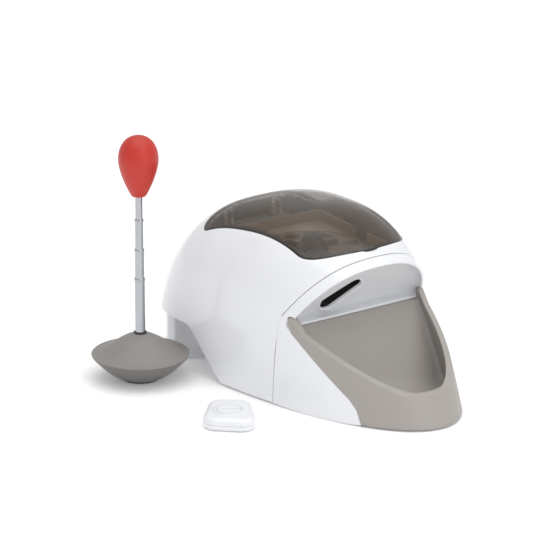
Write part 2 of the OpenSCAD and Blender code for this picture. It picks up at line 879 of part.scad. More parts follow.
module foot_outline() {
    intersection() {
        hull() {
            for (s = [-1, 1]) {
                translate([s * (foot_half - 30), foot_back_y - 30]) circle(30);
                translate([s * (foot_half - 5), foot_front_y + 5]) circle(5);
            }
        }
        polygon([for (k = [0 : around_n - 1]) helm_pt(wall_h / body_h, 360 * k / around_n, shell_wall + 0.8)]);
    }
}

module rear_tub_outline() {
    translate([-tub_half, edge_rise_y - 20]) square([2 * tub_half, foot_front_y - edge_rise_y + 25]);
    foot_outline();
}

// Bent sheet that closes the underside behind the rising edge
module tail_web() {
    difference() {
        intersection() {
            across() intersection() {
                difference() {
                    offset(delta = 3) tail_gap();
                    offset(delta = 1) tail_gap();
                }
                translate([edge_rise_y - 12, 0]) square([far, far]);
            }
            linear_extrude(far)
                polygon([for (k = [0 : around_n - 1]) helm_pt(0.3, 360 * k / around_n, shell_wall + 0.8)]);
        }
        translate([0, 0, -1]) linear_extrude(far) offset(delta = -1) rear_tub_outline();
    }
}

module bay_box(grow, low, high) {
    translate([-bay_w / 2 - grow, bay_y - grow, low]) cube([bay_w + 2 * grow, bay_l + 2 * grow, high - low]);
}

foot_places = [[69, 112], [-69, 112], [82, 222], [-82, 222], [74, 362], [-74, 362]];
pad_r = 8;
boss_places = [[84, 152], [-84, 152], [52, 352], [-52, 352]];

module base_tray() {
    color(grey) difference() {
        union() {
            linear_extrude(base_t) base_outline();
            difference() {
                linear_extrude(wall_h) rear_tub_outline();
                translate([0, 0, base_t]) linear_extrude(wall_h) offset(delta = -2.5) rear_tub_outline();
                translate([-tub_half + 2.5, edge_rise_y - 30, base_t]) cube([2 * tub_half - 5, 40, wall_h]);
            }
            tail_web();
            bay_box(2, 0, bay_h + 2);
            for (p = boss_places) translate([p[0], nose_y + p[1], 0]) cylinder(r = 4.5, h = 20);
        }
        bay_box(0, -1, bay_h);
        translate([-door_w / 2 - 0.4, bay_y - (door_l - bay_l) / 2 - 0.4, -1])
            cube([door_w + 0.8, door_l + 0.8 + door_travel, door_t + 1.2]);
        for (p = foot_places) translate([p[0], nose_y + p[1], -1]) cylinder(r = pad_r + 0.1, h = 2);
        for (p = boss_places) translate([p[0], nose_y + p[1], -1]) cylinder(r = 1.6, h = 30);
        for (p = boss_places) translate([p[0], nose_y + p[1], -1]) cylinder(r = 3.6, h = 3);
        for (r = [0 : 2], k = [0 : max(0, 6 * r - 1)])
            translate([0, foot_back_y - 8, speaker_h]) rotate([-90, 60 * k / max(1, r), 0])
                translate([6 * r, 0, 0]) cylinder(r = 1.3, h = 16);
    }
}

module battery_cells() {
    for (c = [-1, 1], r = [0, 1]) translate([c * cell_x, bay_y + 4.6 + r * (cell_l + 0.4), cell_z])
        rotate([-90, 0, 0]) {
            color(dark) cylinder(d = cell_d, h = cell_l - 2);
            color(steel) translate([0, 0, cell_l - 2]) cylinder(d = 9, h = 2);
        }
}

module battery_contacts() {
    color(steel) for (c = [-1, 1], e = [0, 1]) translate([c * cell_x, bay_y + e * bay_l, cell_z])
        rotate([e == 0 ? -90 : 90, 0, 0]) {
            translate([-10, -10, 0.1]) cube([20, 20, 0.6]);
            cylinder(r = 5, h = e == 0 ? 4.3 : 3.5);
        }
}

module battery_door() {
    color(grey) translate([-door_w / 2, bay_y - (door_l - bay_l) / 2, 0]) difference() {
        cube([door_w, door_l, door_t]);
        for (j = [0 : 3]) translate([door_w / 2 - 12, door_l - 8 - 3 * j, -1]) cube([24, 1.4, 1.6]);
    }
}

board_h = bay_h + 8;
speaker_h = 30;

module main_board() {
    color(green) translate([0, nose_y + 284, board_h]) {
        difference() {
            translate([-48, -34, 0]) cube([96, 68, 1.6]);
            for (x = [-1, 1], y = [-1, 1]) translate([x * 43, y * 29, -1]) cylinder(r = 1.6, h = 4);
        }
        translate([-30, -20, 1.6]) cube([18, 18, 2]);
        translate([4, -24, 1.6]) cube([10, 14, 2]);
        translate([26, 12, 1.6]) cylinder(r = 5, h = 11);
        translate([-38, 14, 1.6]) cube([24, 8, 7]);
        for (x = [-1, 1], y = [-1, 1]) translate([x * 32, y * 24, bay_h + 2 - board_h])
            cylinder(r = 2.5, h = board_h - bay_h - 2);
    }
}

module radio_module() {
    color(steel) translate([-8, nose_y + 294, board_h + 1.6]) cube([20, 14, 3]);
}

module speaker() {
    color(dark) translate([0, foot_back_y - 2.6, speaker_h]) rotate([90, 0, 0]) {
        cylinder(r = 20, h = 3);
        translate([0, 0, 3]) cylinder(r1 = 18, r2 = 10, h = 6);
        translate([0, 0, 9]) cylinder(r = 10, h = 5);
    }
}

// ---- Rear control panel ----

panel_t = 3;
plate_z = -panel_set + 0.3;
keys = [[18, 8], [34, 8], [18, -8], [34, -8]];
switch_at = [-28, -14];
window_w = 44;
window_l = 20;
window_at = [-18, 5];

module control_panel() {
    color(grey) on_panel() translate([0, 0, plate_z]) difference() {
        linear_extrude(panel_t) difference() {
            plate_outline(panel_w - 0.8, panel_l - 0.8, pocket_r_out - 0.4);
            for (k = keys) translate(k) circle(key_r + 0.3);
            translate(window_at) square([window_w, window_l], center = true);
            translate(switch_at) square([15, 5], center = true);
        }
    }
}

module display_window() {
    color(smoke) on_panel() translate([window_at[0] - window_w / 2 + 0.2, window_at[1] - window_l / 2 + 0.2, plate_z + 1])
        cube([window_w - 0.4, window_l - 0.4, 1.6]);
}

module display_module() {
    color(dark) on_panel() translate([window_at[0] - window_w / 2 + 1, window_at[1] - window_l / 2 + 1, plate_z - 3.4])
        cube([window_w - 2, window_l - 2, 4.1]);
}

module panel_board() {
    color(green) on_panel() {
        translate([0, 0, plate_z - 5]) linear_extrude(1.6) square([panel_w - 10, panel_l - 10], center = true);
        for (k = keys) translate([k[0] - 3, k[1] - 3, plate_z - 3.4]) cube([6, 6, 1.2]);
    }
}

module panel_key(at) {
    color(dark) on_panel() translate([at[0], at[1], plate_z]) {
        cylinder(r = key_r, h = panel_t + 1.4);
        translate([0, 0, -1.1]) cylinder(r = key_r + 1.2, h = 1);
        translate([0, 0, -0.2]) cylinder(r = key_r, h = 0.3);
    }
}

module menu_key() {
    panel_key(keys[0]);
}

module up_key() {
    panel_key(keys[1]);
}

module down_key() {
    panel_key(keys[2]);
}

module enter_key() {
    panel_key(keys[3]);
}

switch_travel = 5;

module power_switch() {
    color(dark) on_panel() translate([switch_at[0] - switch_travel / 2, switch_at[1], plate_z - 1.2]) {
        linear_extrude(panel_t + 2.6) square([8, 4], center = true);
        linear_extrude(1) square([8, 8], center = true);
    }
}

module rubber_feet() {
    color(dark) for (p = foot_places) translate([p[0], nose_y + p[1], floor_z]) cylinder(r = pad_r, h = 1 - floor_z);
}

module shell_screws() {
    color(steel) for (p = boss_places) translate([p[0], nose_y + p[1], 0.5]) {
        cylinder(r = 3.2, h = 1.4);
        cylinder(r = 1.5, h = 16);
    }
}

// ---- Target wand ----

wand_x = body_w / 2 + wand_gap;
wand_y = nose_y + wand_back;
socket_top = saucer_h + floor_z;
pad_h = 2;

module at_wand() {
    translate([-wand_x, wand_y, 0]) children();
}

function saucer_top(r) = saucer_rim_h + (saucer_h - saucer_rim_h) * pow(0.5 + 0.5 * cos(180 * min(1, r / saucer_r)), 0.85);
function saucer_under(r) = pad_h + (saucer_rim_h - pad_h - 1.5) * pow(max(0, (r - 20) / (saucer_r - 20)), 1.5);

module saucer_profile() {
    top = [for (j = [0 : 14]) let (r = 7 + (saucer_r - 7) * j / 14) [r, saucer_top(r)]];
    under = [for (j = [12 : -1 : 0]) let (r = 20 + (saucer_r - 20) * j / 12) [r, saucer_under(r)]];
    polygon(concat(top, under, [[7, pad_h]]));
}

weight_r = 34;
weight_t = 9;
weight_h = 10;

module wand_foot() {
    color(grey) at_wand() translate([0, 0, floor_z]) difference() {
        rotate_extrude() saucer_profile();
        translate([0, 0, weight_h - 0.2]) ring_plate(weight_r + 0.2, weight_t + 0.4, 9);
    }
}

module wand_ballast() {
    color(steel) at_wand() translate([0, 0, floor_z + weight_h]) ring_plate(weight_r, weight_t, 9.4);
}

module wand_pad() {
    color(dark) at_wand() translate([0, 0, floor_z]) cylinder(r = 21, h = pad_h);
}

module wand_socket() {
    color(dark) at_wand() translate([0, 0, floor_z + pad_h]) ring_plate(6.9, socket_top - floor_z - pad_h + 1, tube_r);
}

tube_gap = 0.05;
r1 = tube_r;
r2 = r1 - tube_wall - tube_gap;
r3 = r2 - tube_wall - tube_gap;
r4 = r3 - tube_wall - tube_gap;
z_foot = floor_z + pad_h + 3;
z1 = 110;
z2 = 142;
z3 = 175;
z4 = 200;

crimp_h = 3;
crimp_r = 0.5;

// A tube with the crimped ring at its top end
module tube(r, low, high) {
    at_wand() translate([0, 0, low]) difference() {
        union() {
            cylinder(r = r, h = high - low);
            translate([0, 0, high - low - crimp_h]) cylinder(r = r + crimp_r, h = crimp_h);
        }
        translate([0, 0, -1]) cylinder(r = r - tube_wall, h = high - low + 2);
    }
}

module tube_lower() {
    color(steel) tube(r1, z_foot, z1);
}

module tube_middle() {
    color(steel) tube(r2, z1 - 46, z2);
}

module tube_upper() {
    color(steel) tube(r3, z2 - 46, z3);
}

module tip_rod() {
    color(steel) at_wand() translate([0, 0, z3 - 44]) cylinder(r = r4, h = z4 + 12 - z3 + 44);
}

// Egg-shaped tip, widest above its middle
function tip_radius(f) = tip_r * pow(sin(180 * pow(f, 1.35)), 0.62);

module target_tip() {
    n = 22;
    color(red) at_wand() translate([0, 0, z4]) difference() {
        rotate_extrude() polygon(concat(
            [[0, 0], [6.2, 0]],
            [for (j = [1 : n - 1]) let (f = j / n) [max(6.2 - 4 * f, tip_radius(f)), tip_h * f]],
            [[0, tip_h]]
        ));
        translate([0, 0, -1]) cylinder(r = r4, h = 13);
    }
}

// ---- Hand remote ----

remote_x = body_w / 2 + remote_gap;
remote_y = nose_y + remote_back;
remote_turn = -38;
split_h = 6.5;
remote_wall = 1.6;
ring_at = -4;

module at_remote() {
    translate([-remote_x, remote_y, floor_z]) rotate(remote_turn) children();
}

module remote_outline(grow = 0) {
    offset(delta = grow) hull() {
        for (s = [-1, 1]) {
            translate([s * (remote_w / 2 - 16), -remote_l / 2 + 16]) circle(16);
            translate([s * 6, remote_l / 2 - 14]) circle(14);
        }
    }
}

// A pillow between two heights, rounded off towards one of them
module pillow(low, high, crown) {
    hull() {
        translate([0, 0, crown ? low : high - 2]) linear_extrude(2) remote_outline();
        translate([0, 0, crown ? high - 2.2 : low + 1.4]) linear_extrude(0.4) remote_outline(-1.6);
        translate([0, 0, crown ? high - 0.4 : low]) linear_extrude(0.4) remote_outline(-6);
    }
}

module half_moon(grow = 0) {
    difference() {
        circle(ring_r - 3 + grow);
        translate([-ring_r, -ring_r * 2 + 1.6 - grow]) square([2 * ring_r, 2 * ring_r]);
    }
}

module remote_top() {
    color(white) at_remote() difference() {
        union() {
            pillow(split_h, remote_t, true);
            translate([0, ring_at, remote_t - 2]) cylinder(r = ring_r, h = 3);
        }
        translate([0, 0, split_h - 1]) linear_extrude(remote_t - split_h - 1) remote_outline(-remote_wall - 6);
        for (s = [0, 180]) translate([0, ring_at, split_h]) rotate(s) linear_extrude(remote_t) half_moon(0.3);
    }
}

module remote_bottom() {
    color(white) at_remote() difference() {
        pillow(0, split_h - 0.2, false);
        translate([0, 0, remote_wall]) linear_extrude(split_h) remote_outline(-remote_wall - 6);
        translate([0, -remote_l / 2 + 11, -1]) cylinder(r = 1.3, h = 6);
        translate([0, -remote_l / 2 + 11, -1]) cylinder(r = 2.6, h = 2);
    }
}

module remote_button(turn) {
    color(white) at_remote() translate([0, ring_at, 0]) rotate(turn) {
        translate([0, 0, remote_t - 3.4]) linear_extrude(4.6) half_moon();
        translate([0, 0, remote_t - 3.4]) linear_extrude(1) half_moon(0.9);
    }
}

module treat_button() {
    remote_button(0);
}

module hold_button() {
    remote_button(180);
}

module remote_board() {
    color(green) at_remote() {
        translate([0, 0, split_h]) linear_extrude(1.2) remote_outline(-remote_wall - 7);
        for (s = [-1, 1]) translate([-3, ring_at + s * 7 - 3, split_h + 1.2]) cube([6, 6, 1.6]);
    }
}

module remote_cell() {
    color(steel) at_remote() translate([0, ring_at, split_h - 3.6]) cylinder(r = 10, h = 3.4);
}

module remote_screw() {
    color(steel) at_remote() translate([0, -remote_l / 2 + 11, 0.2]) {
        cylinder(r = 2.4, h = 0.7);
        cylinder(r = 1.2, h = 4.6);
    }
}

main_housing();
front_bezel();
food_bowl();
base_tray();
lid();
lid_hinge_arms();
hinge_bracket();
hinge_pins();
hopper();
dispensing_disk();
stirrer_cap();
pocket_guard();
drive_shaft();
drive_gear();
motor_bracket();
gear_motor();
motor_pinion();
treat_chute();
treat_sensors();
battery_cells();
battery_contacts();
battery_door();
main_board();
radio_module();
speaker();
control_panel();
display_window();
display_module();
panel_board();
menu_key();
up_key();
down_key();
enter_key();
power_switch();
rubber_feet();
shell_screws();
wand_foot();
wand_ballast();
wand_pad();
wand_socket();
tube_lower();
tube_middle();
tube_upper();
tip_rod();
target_tip();
remote_top();
remote_bottom();
treat_button();
hold_button();
remote_board();
remote_cell();
remote_screw();
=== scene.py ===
from math import acos, asin, atan, cos, pi, radians, sin, tan

import bmesh
import bpy
import numpy as np
from mathutils import Matrix, Vector


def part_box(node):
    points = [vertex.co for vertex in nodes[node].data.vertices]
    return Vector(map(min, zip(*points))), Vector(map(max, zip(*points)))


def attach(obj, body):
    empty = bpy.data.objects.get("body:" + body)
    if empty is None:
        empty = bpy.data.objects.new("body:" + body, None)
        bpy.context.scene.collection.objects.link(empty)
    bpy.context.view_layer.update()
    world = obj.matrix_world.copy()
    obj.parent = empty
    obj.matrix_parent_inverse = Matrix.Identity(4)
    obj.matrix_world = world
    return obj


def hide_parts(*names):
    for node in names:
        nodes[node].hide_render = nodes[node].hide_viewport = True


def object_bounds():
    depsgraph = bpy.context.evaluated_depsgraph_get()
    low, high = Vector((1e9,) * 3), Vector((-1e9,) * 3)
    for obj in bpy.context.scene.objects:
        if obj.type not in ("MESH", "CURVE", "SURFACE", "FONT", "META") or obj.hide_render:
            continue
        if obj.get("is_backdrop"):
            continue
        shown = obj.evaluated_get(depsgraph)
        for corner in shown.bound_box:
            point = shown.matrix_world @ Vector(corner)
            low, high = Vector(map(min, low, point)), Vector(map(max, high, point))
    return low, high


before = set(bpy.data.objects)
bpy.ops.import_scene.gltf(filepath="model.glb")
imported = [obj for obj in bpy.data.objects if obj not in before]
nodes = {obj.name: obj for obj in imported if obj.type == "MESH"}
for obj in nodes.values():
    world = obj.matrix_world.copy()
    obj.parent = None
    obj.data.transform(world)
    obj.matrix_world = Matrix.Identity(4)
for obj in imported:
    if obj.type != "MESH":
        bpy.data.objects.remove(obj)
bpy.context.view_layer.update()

# ---- Base tray and battery bay ----
# The dispenser's floor: one injection-moulded tray in satin warm grey plastic, with the battery
# bay, its sliding door, six stick-on rubber feet and the four screws that hold the white cover.


class Wire:
    """A shader socket that adds, subtracts and multiplies like a number."""

    def __init__(self, tree, socket):
        self.tree, self.socket = tree, socket

    def node(self, kind, inputs=None, output=0, **settings):
        """Another node in this tree, its inputs given as values or wires."""
        made = self.tree.nodes.new(kind)
        for name, value in settings.items():
            setattr(made, name, value)
        for key, value in (inputs or {}).items():
            if isinstance(value, Wire):
                self.tree.links.new(value.socket, made.inputs[key])
            else:
                made.inputs[key].default_value = value
        return Wire(self.tree, made.outputs[output])

    def maths(self, operation, *values):
        return self.node("ShaderNodeMath", dict(enumerate(values)), operation=operation)

    def __add__(self, other):
        return self.maths("ADD", self, other)

    def __sub__(self, other):
        return self.maths("SUBTRACT", self, other)

    def __mul__(self, other):
        return self.maths("MULTIPLY", self, other)

    def __rsub__(self, other):
        return self.maths("SUBTRACT", other, self)

    __radd__, __rmul__ = __add__, __mul__


def new_material(name, **fixed):
    """A material with its fixed shader values, and the object's own place as a wire in it."""
    material = bpy.data.materials.new(name)
    material.use_nodes = True
    shader = material.node_tree.nodes["Principled BSDF"]
    for key, value in fixed.items():
        shader.inputs[key.replace("_", " ")].default_value = value
    place = material.node_tree.nodes.new("ShaderNodeTexCoord")
    return material, Wire(material.node_tree, place.outputs["Object"])


def noise(place, scale, detail=2.0):
    return place.node("ShaderNodeTexNoise", {"Vector": place, "Scale": scale, "Detail": detail})


def along_axis(place, axis):
    """How far along an axis a place lies; 0, 1 and 2 are X, Y and Z."""
    return place.node("ShaderNodeSeparateXYZ", {0: place}, axis)


def blend_colour(amount, first, second):
    """A colour between two, each given as red, green and blue or as a wire."""
    first, second = (each if isinstance(each, Wire) else (*each, 1) for each in (first, second))
    return amount.node("ShaderNodeMix", {0: amount, 6: first, 7: second}, 2, data_type="RGBA")


def surface(material, height=None, depth=0.0, **wires):
    """Wires up a material's shader, with bumps of a height and depth; returns the material."""
    if height:
        wires["Normal"] = height.node("ShaderNodeBump", {"Height": height, "Distance": depth})
    shader = material.node_tree.nodes["Principled BSDF"]
    for name, wire in wires.items():
        wire.tree.links.new(wire.socket, shader.inputs[name.replace("_", " ")])
    return material


FLOW_SCALE, GRAIN_SCALE = 22, 1500
FLOW_GLOSS, GRAIN_GLOSS = 0.12, 0.06


def moulded_gloss(place, roughness):
    """Faint flow marks and a spark-eroded grain, and the roughness that both show in."""
    flow, grain = noise(place, FLOW_SCALE, 3), noise(place, GRAIN_SCALE)
    return flow, grain, roughness + (flow - 0.5) * FLOW_GLOSS + (grain - 0.5) * GRAIN_GLOSS


def moulded(name, colour, roughness, depth, uneven=0.04, **fixed):
    """Moulded plastic, its grain that deep and its tint slightly uneven."""
    material, place = new_material(name, **fixed)
    flow, grain, gloss = moulded_gloss(place, roughness)
    dark = [c * (1 - uneven) for c in colour]
    light = [min(1, c * (1 + uneven)) for c in colour]
    tint = blend_colour(flow, dark, light)
    bumps = grain + noise(place, 320, 1) * 0.6
    return surface(material, bumps, depth, Base_Color=tint, Roughness=gloss)


def dress(names, material):
    for name in names.split():
        for slot in nodes[name].material_slots:
            slot.material = material


GREY = (0.355, 0.33, 0.308)
grey_plastic = moulded("warm_grey_plastic", GREY, 0.46, 0.00006)
rubber = moulded("black_rubber", (0.022, 0.022, 0.024), 0.78, 0.00012)


def add_object(name, data):
    made = bpy.data.objects.new(name, data)
    bpy.context.scene.collection.objects.link(made)
    return made


def plain_mesh(name, points, faces=()):
    mesh = bpy.data.meshes.new(name)
    mesh.from_pydata(points, [], faces)
    return mesh


def shade(piece, angle=34.0):
    """Smooth faces, with an edge kept sharp where it turns by more than the angle."""
    for face in piece.data.polygons:
        face.use_smooth = True
    piece.data.set_sharp_from_angle(angle=radians(angle))


def settle(piece):
    """Makes a piece's modifiers part of its plain mesh."""
    view = bpy.context.evaluated_depsgraph_get()
    made = bpy.data.meshes.new_from_object(piece.evaluated_get(view))
    piece.modifiers.clear()
    piece.data = made


def place_piece(piece, material, body, slot, *replaced):
    piece.data.materials.clear()
    piece.data.materials.append(material)
    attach(piece, body)
    if replaced:
        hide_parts(*replaced)


def new_tree(name, counts, lengths):
    """An empty geometry tree, and its places, finish and named sizes as wires."""
    tree = bpy.data.node_groups.new(name, "GeometryNodeTree")
    kinds = [("Places", "NodeSocketGeometry"), ("Finish", "NodeSocketMaterial")]
    kinds += [(each, "NodeSocketInt") for each in counts]
    kinds += [(each, "NodeSocketFloat") for each in lengths]
    for each, kind in kinds:
        tree.interface.new_socket(each, in_out="INPUT", socket_type=kind)
    tree.interface.new_socket("Piece", in_out="OUTPUT", socket_type="NodeSocketGeometry")
    start = tree.nodes.new("NodeGroupInput")
    return tree, {each: Wire(tree, start.outputs[each]) for each, _ in kinds}


def joined(*wires):
    whole = wires[0].node("GeometryNodeJoinGeometry")
    for wire in wires:
        wire.tree.links.new(wire.socket, whole.socket.node.inputs[0])
    return whole


def shifted(geometry, height, turn=0.0):
    """A geometry turned about X and moved up by a height."""
    move = geometry.node("ShaderNodeCombineXYZ", {"Z": height})
    inputs = {0: geometry, "Translation": move, "Rotation": (turn, 0, 0)}
    return geometry.node("GeometryNodeTransform", inputs)


def rod(sides, radius, low, high, **more):
    """An upright cylinder from one height to another."""
    inputs = {"Vertices": sides, "Radius": radius, "Depth": high - low, **more}
    return shifted(radius.node("GeometryNodeMeshCylinder", inputs), (low + high) * 0.5)


def spread(part, places):
    return part.node("GeometryNodeInstanceOnPoints", {"Points": places, "Instance": part})


def end_tree(size, part):
    """One part on each place, made real and given its finish."""
    real = part.node("GeometryNodeRealizeInstances", {0: spread(part, size["Places"])})
    done = part.node("GeometryNodeSetMaterial", {"Geometry": real, "Material": size["Finish"]})
    done.tree.links.new(done.socket, done.tree.nodes.new("NodeGroupOutput").inputs[0])


def grown(name, tree, places, sizes, stand=None):
    """The plain mesh that a tree makes on its places, as a piece; stand turns and moves it."""
    piece = add_object(name, plain_mesh(name, places))
    change = piece.modifiers.new(name, "NODES")
    change.node_group = tree
    for socket in tree.interface.items_tree:
        if socket.in_out == "INPUT" and socket.name in sizes:
            change[socket.identifier] = sizes[socket.name]
    settle(piece)
    piece.data.transform(stand or Matrix())
    shade(piece)
    return piece


NUB_RINGS, NUB_TAPER, EDGE_DRAWN_IN = 3, 0.6, 0.06


def nubbed_pad():
    """A rubber pad with a rounded lower edge, and small grip nubs in rings under it."""
    lengths = "Pad Radius", "Pad Height", "Ring Step", "Nub Radius", "Nub Height"
    tree, size = new_tree("nubbed_pad", ["Nubs in Ring"], lengths)
    step, tall, wide = size["Ring Step"], size["Pad Height"], size["Nub Radius"]
    cone = {"Vertices": 10, "Radius Top": wide * NUB_TAPER, "Radius Bottom": wide}
    cone["Depth"] = size["Nub Height"]
    nub = shifted(step.node("GeometryNodeMeshCone", cone), 0.0, pi)
    rings = [step.node("GeometryNodePoints", {"Count": 1})]
    for k in range(1, NUB_RINGS + 1):
        ring = {0: size["Nubs in Ring"] * k, "Radius": step * k}
        rings.append(step.node("GeometryNodeMeshCircle", ring))
    pad = rod(48, size["Pad Radius"], tall * -1, 0, **{"Side Segments": 8})
    where = step.node("GeometryNodeInputPosition")
    rise = along_axis(where, 2)
    depth = rise.maths("DIVIDE", rise, tall) * -1
    pull = {0: where, "Scale": depth.maths("POWER", depth, 4.0) * -EDGE_DRAWN_IN}
    inward = where.node("ShaderNodeVectorMath", pull, operation="SCALE")
    level = {0: inward, 1: (1, 1, 0)}
    inward = where.node("ShaderNodeVectorMath", level, operation="MULTIPLY")
    pad = pad.node("GeometryNodeSetPosition", {"Geometry": pad, "Offset": inward})
    end_tree(size, joined(pad, *[shifted(spread(nub, ring), tall * -1) for ring in rings]))
    return tree


pad_tree = nubbed_pad()
small_pad = {"Finish": rubber, "Nubs in Ring": 6, "Pad Radius": 0.008, "Pad Height": 0.0022}
small_pad |= {"Ring Step": 0.0022, "Nub Radius": 0.0006, "Nub Height": 0.0003}


def both_sides(spots, height):
    """Places given on the right side as X and Y, and again on the left."""
    return [(side * x, y, height) for side in (1, -1) for x, y in spots]


foot_places = both_sides([(0.069, -0.088), (0.082, 0.022), (0.074, 0.162)], 0.001)
feet = grown("foot_pads", pad_tree, foot_places, small_pad)
place_piece(feet, rubber, "dispenser", "rubber", "rubber_feet")


STREAKS_ALONG, STREAKS_ACROSS = 90.0, 2200.0


def metal(name, colour, roughness, along, wear=0.1, scratch=0.000008):
    """Bare or plated metal, its polish streaked along one axis."""
    material, place = new_material(name, Metallic=1.0)
    scale = [STREAKS_ALONG if k == along else STREAKS_ACROSS for k in range(3)]
    streaks = noise(place.node("ShaderNodeMapping", {"Vector": place, "Scale": scale}), 1)
    cloud = noise(place, 60, 3)
    tint = blend_colour(cloud, [c * 0.9 for c in colour], colour)
    gloss = roughness + (streaks - 0.5) * wear + (cloud - 0.5) * wear
    return surface(material, streaks, scratch, Base_Color=tint, Roughness=gloss)


steel = metal("bright_steel", (0.62, 0.62, 0.64), 0.32, 1)
dress("battery_contacts hinge_pins drive_shaft gear_motor radio_module", steel)


RECESS_SPAN = 1.24


def cross_screw():
    """A steel screw, head down, with a cross recess; RECESS_SPAN is a share of its radius."""
    lengths = "Head Radius", "Head Height", "Shank Radius", "Length", "Recess Width", "Recess Depth"
    tree, size = new_tree("cross_screw", [], lengths)
    tall, wide, long = size["Head Height"], size["Head Radius"], size["Length"]
    head = rod(40, wide, 0, tall)
    for along in (0, 1):
        sides = {along: wide * RECESS_SPAN, 1 - along: size["Recess Width"]}
        sides[2] = size["Recess Depth"] * 2
        block = tall.node("ShaderNodeCombineXYZ", sides)
        cross = tall.node("GeometryNodeMeshCube", {"Size": block})
        inputs = {"Mesh 1": head, "Mesh 2": cross}
        head = tall.node("GeometryNodeMeshBoolean", inputs, solver="MANIFOLD")
    end_tree(size, joined(head, rod(24, size["Shank Radius"], tall, long)))
    return tree


screw_tree = cross_screw()
cover_screw = {"Finish": steel, "Head Radius": 0.0032, "Head Height": 0.0014}
cover_screw |= {"Shank Radius": 0.0015, "Length": 0.016}
cover_screw |= {"Recess Width": 0.0009, "Recess Depth": 0.0009}
screw_places = both_sides([(0.084, -0.048), (0.052, 0.152)], 0.0005)
screws = grown("cover_screws", screw_tree, screw_places, cover_screw)
place_piece(screws, steel, "dispenser", "steel", "shell_screws")


CELLS_IN_LINE, BAND_START, RAGGED = 2, 0.72, 0.004


def cell_jacket():
    """A cell's printed jacket: a dark sleeve with a plain copper-coloured band at its top end."""
    material, place = new_material("cell_jacket", Roughness=0.3, Coat_Weight=0.3)
    low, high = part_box("battery_cells")
    share = (along_axis(place, 1) - low.y) * (CELLS_IN_LINE / (high.y - low.y))
    share = share.maths("FRACT", share)
    band = share.maths("GREATER_THAN", share + noise(place, 900) * RAGGED, BAND_START)
    tint = blend_colour(band, (0.03, 0.03, 0.034), (0.5, 0.26, 0.13))
    return surface(material, noise(place, 400), 0.00004, Base_Color=tint)


dress("battery_cells", cell_jacket())

# ---- Electronics ----
# Glass-epoxy boards with a solder-mask film, the motor's gearbox can, the paper-cone speaker
# and the two infrared sensors beside the chute.


def circuit_board():
    """Green solder mask over woven glass, with brighter squares where copper lies under it."""
    material, place = new_material("circuit_board", Coat_Weight=0.35)
    inputs = {"Vector": place, "Scale": 210.0}
    tracks = place.node("ShaderNodeTexVoronoi", inputs, feature="F1", distance="CHEBYCHEV")
    lines = tracks.maths("GREATER_THAN", tracks, 0.36)
    tint = blend_colour(lines, (0.012, 0.11, 0.05), (0.03, 0.2, 0.09))
    gloss = 0.34 + noise(place, 500) * 0.16
    return surface(material, lines, 0.00003, Base_Color=tint, Roughness=gloss)


dress("main_board panel_board remote_board", circuit_board())
dark_plastic = moulded("black_plastic", (0.02, 0.02, 0.022), 0.42, 0.00005)
dress("speaker treat_sensors display_module power_switch", dark_plastic)
key_rubber = moulded("grey_key_rubber", (0.09, 0.09, 0.095), 0.6, 0.00008)
dress("menu_key up_key down_key enter_key", key_rubber)

# ---- Feeder drive, hopper and chute ----
# A tan hopper screwed under the cover's posts, the brown pocketed disk that turns in its floor
# with its black stirrer, the natural acetal gears and brackets, and the black chute that leads
# a treat to the slot.

natural = moulded("natural_acetal", (0.62, 0.6, 0.55), 0.5, 0.00005)
hopper_tan = moulded("hopper_tan", (0.4, 0.32, 0.25), 0.42, 0.00005)
dress("drive_gear motor_pinion motor_bracket hinge_bracket", natural)
dress("hopper", hopper_tan)
dress("dispensing_disk", moulded("disk_plastic", (0.2, 0.155, 0.12), 0.4, 0.00004))
dress("stirrer_cap pocket_guard treat_chute", dark_plastic)

# ---- Food bowl ----
# The deep front bowl: one satin warm grey moulding whose outside is the nose of the helmet,
# with a thick rounded rim, an ear at each end of it and a ramp up to the ledge under the slot.

# The helmet in millimetres: Y of its nose, tail, crown and widest place, its half width and height,
# and how full its nose, tail and sides are drawn, as powers of a superellipse.
NOSE, TAIL, CROWN, WIDEST = -200.0, 200.0, 27.0, 91.0
HALF, HEIGHT = 107.0, 185.0
NOSE_BEND, TAIL_BEND, SIDE_BEND = 2.55, 2.6, 3.2
HEART = np.array([0.0, 40.0, 45.0])
EDGE = 0.5


def rounded(t, n):
    """The fall from one at the middle to nought at the edge, fuller with a higher n."""
    return np.maximum(1 - t**n, 0) ** (1 / n)


def tail_end(t, inset=0.0):
    """Where the helmet's back lies, at a share of its height."""
    return CROWN + (TAIL - inset - CROWN) * rounded(t, TAIL_BEND)


def widest_at(t):
    """Where the helmet's plan is widest, at a share of its height."""
    return WIDEST + (CROWN - WIDEST) * t * t


def plan_bend(t, ahead):
    """How full the plan is drawn at a share of the height, ahead of its widest place or behind."""
    return np.where(ahead, 2.05 + 0.3 * t, 3.7 - 1.1 * t)


def full_turn(count):
    return np.linspace(0, 2 * pi, count + 1)[:-1]


def on_circle(turn):
    return np.column_stack([np.cos(turn), np.sin(turn)])


def half_width(y, z, inset=0.0):
    """Half width of the helmet at a place in its side view; nought outside it."""
    t = np.clip(z / (HEIGHT - inset), 0, 1)
    front = CROWN - (CROWN - NOSE - inset) * (1 - t) ** (1 / NOSE_BEND)
    back = tail_end(t, inset)
    middle = np.clip(widest_at(t), front, back)
    ahead = y < middle
    share = np.abs(y - middle) / np.maximum(np.where(ahead, middle - front, back - middle), 1e-9)
    plan = rounded(np.minimum(share, 1), plan_bend(t, ahead))
    return np.where((share < 1) & (t < 1), (HALF - inset) * rounded(t, SIDE_BEND) * plan, 0.0)


def bisect(test, low, high):
    """The last place, between two arrays, where the test still holds."""
    for _ in range(36):
        middle = (low + high) / 2
        held = test(middle)
        low, high = np.where(held, middle, low), np.where(held, high, middle)
    return low


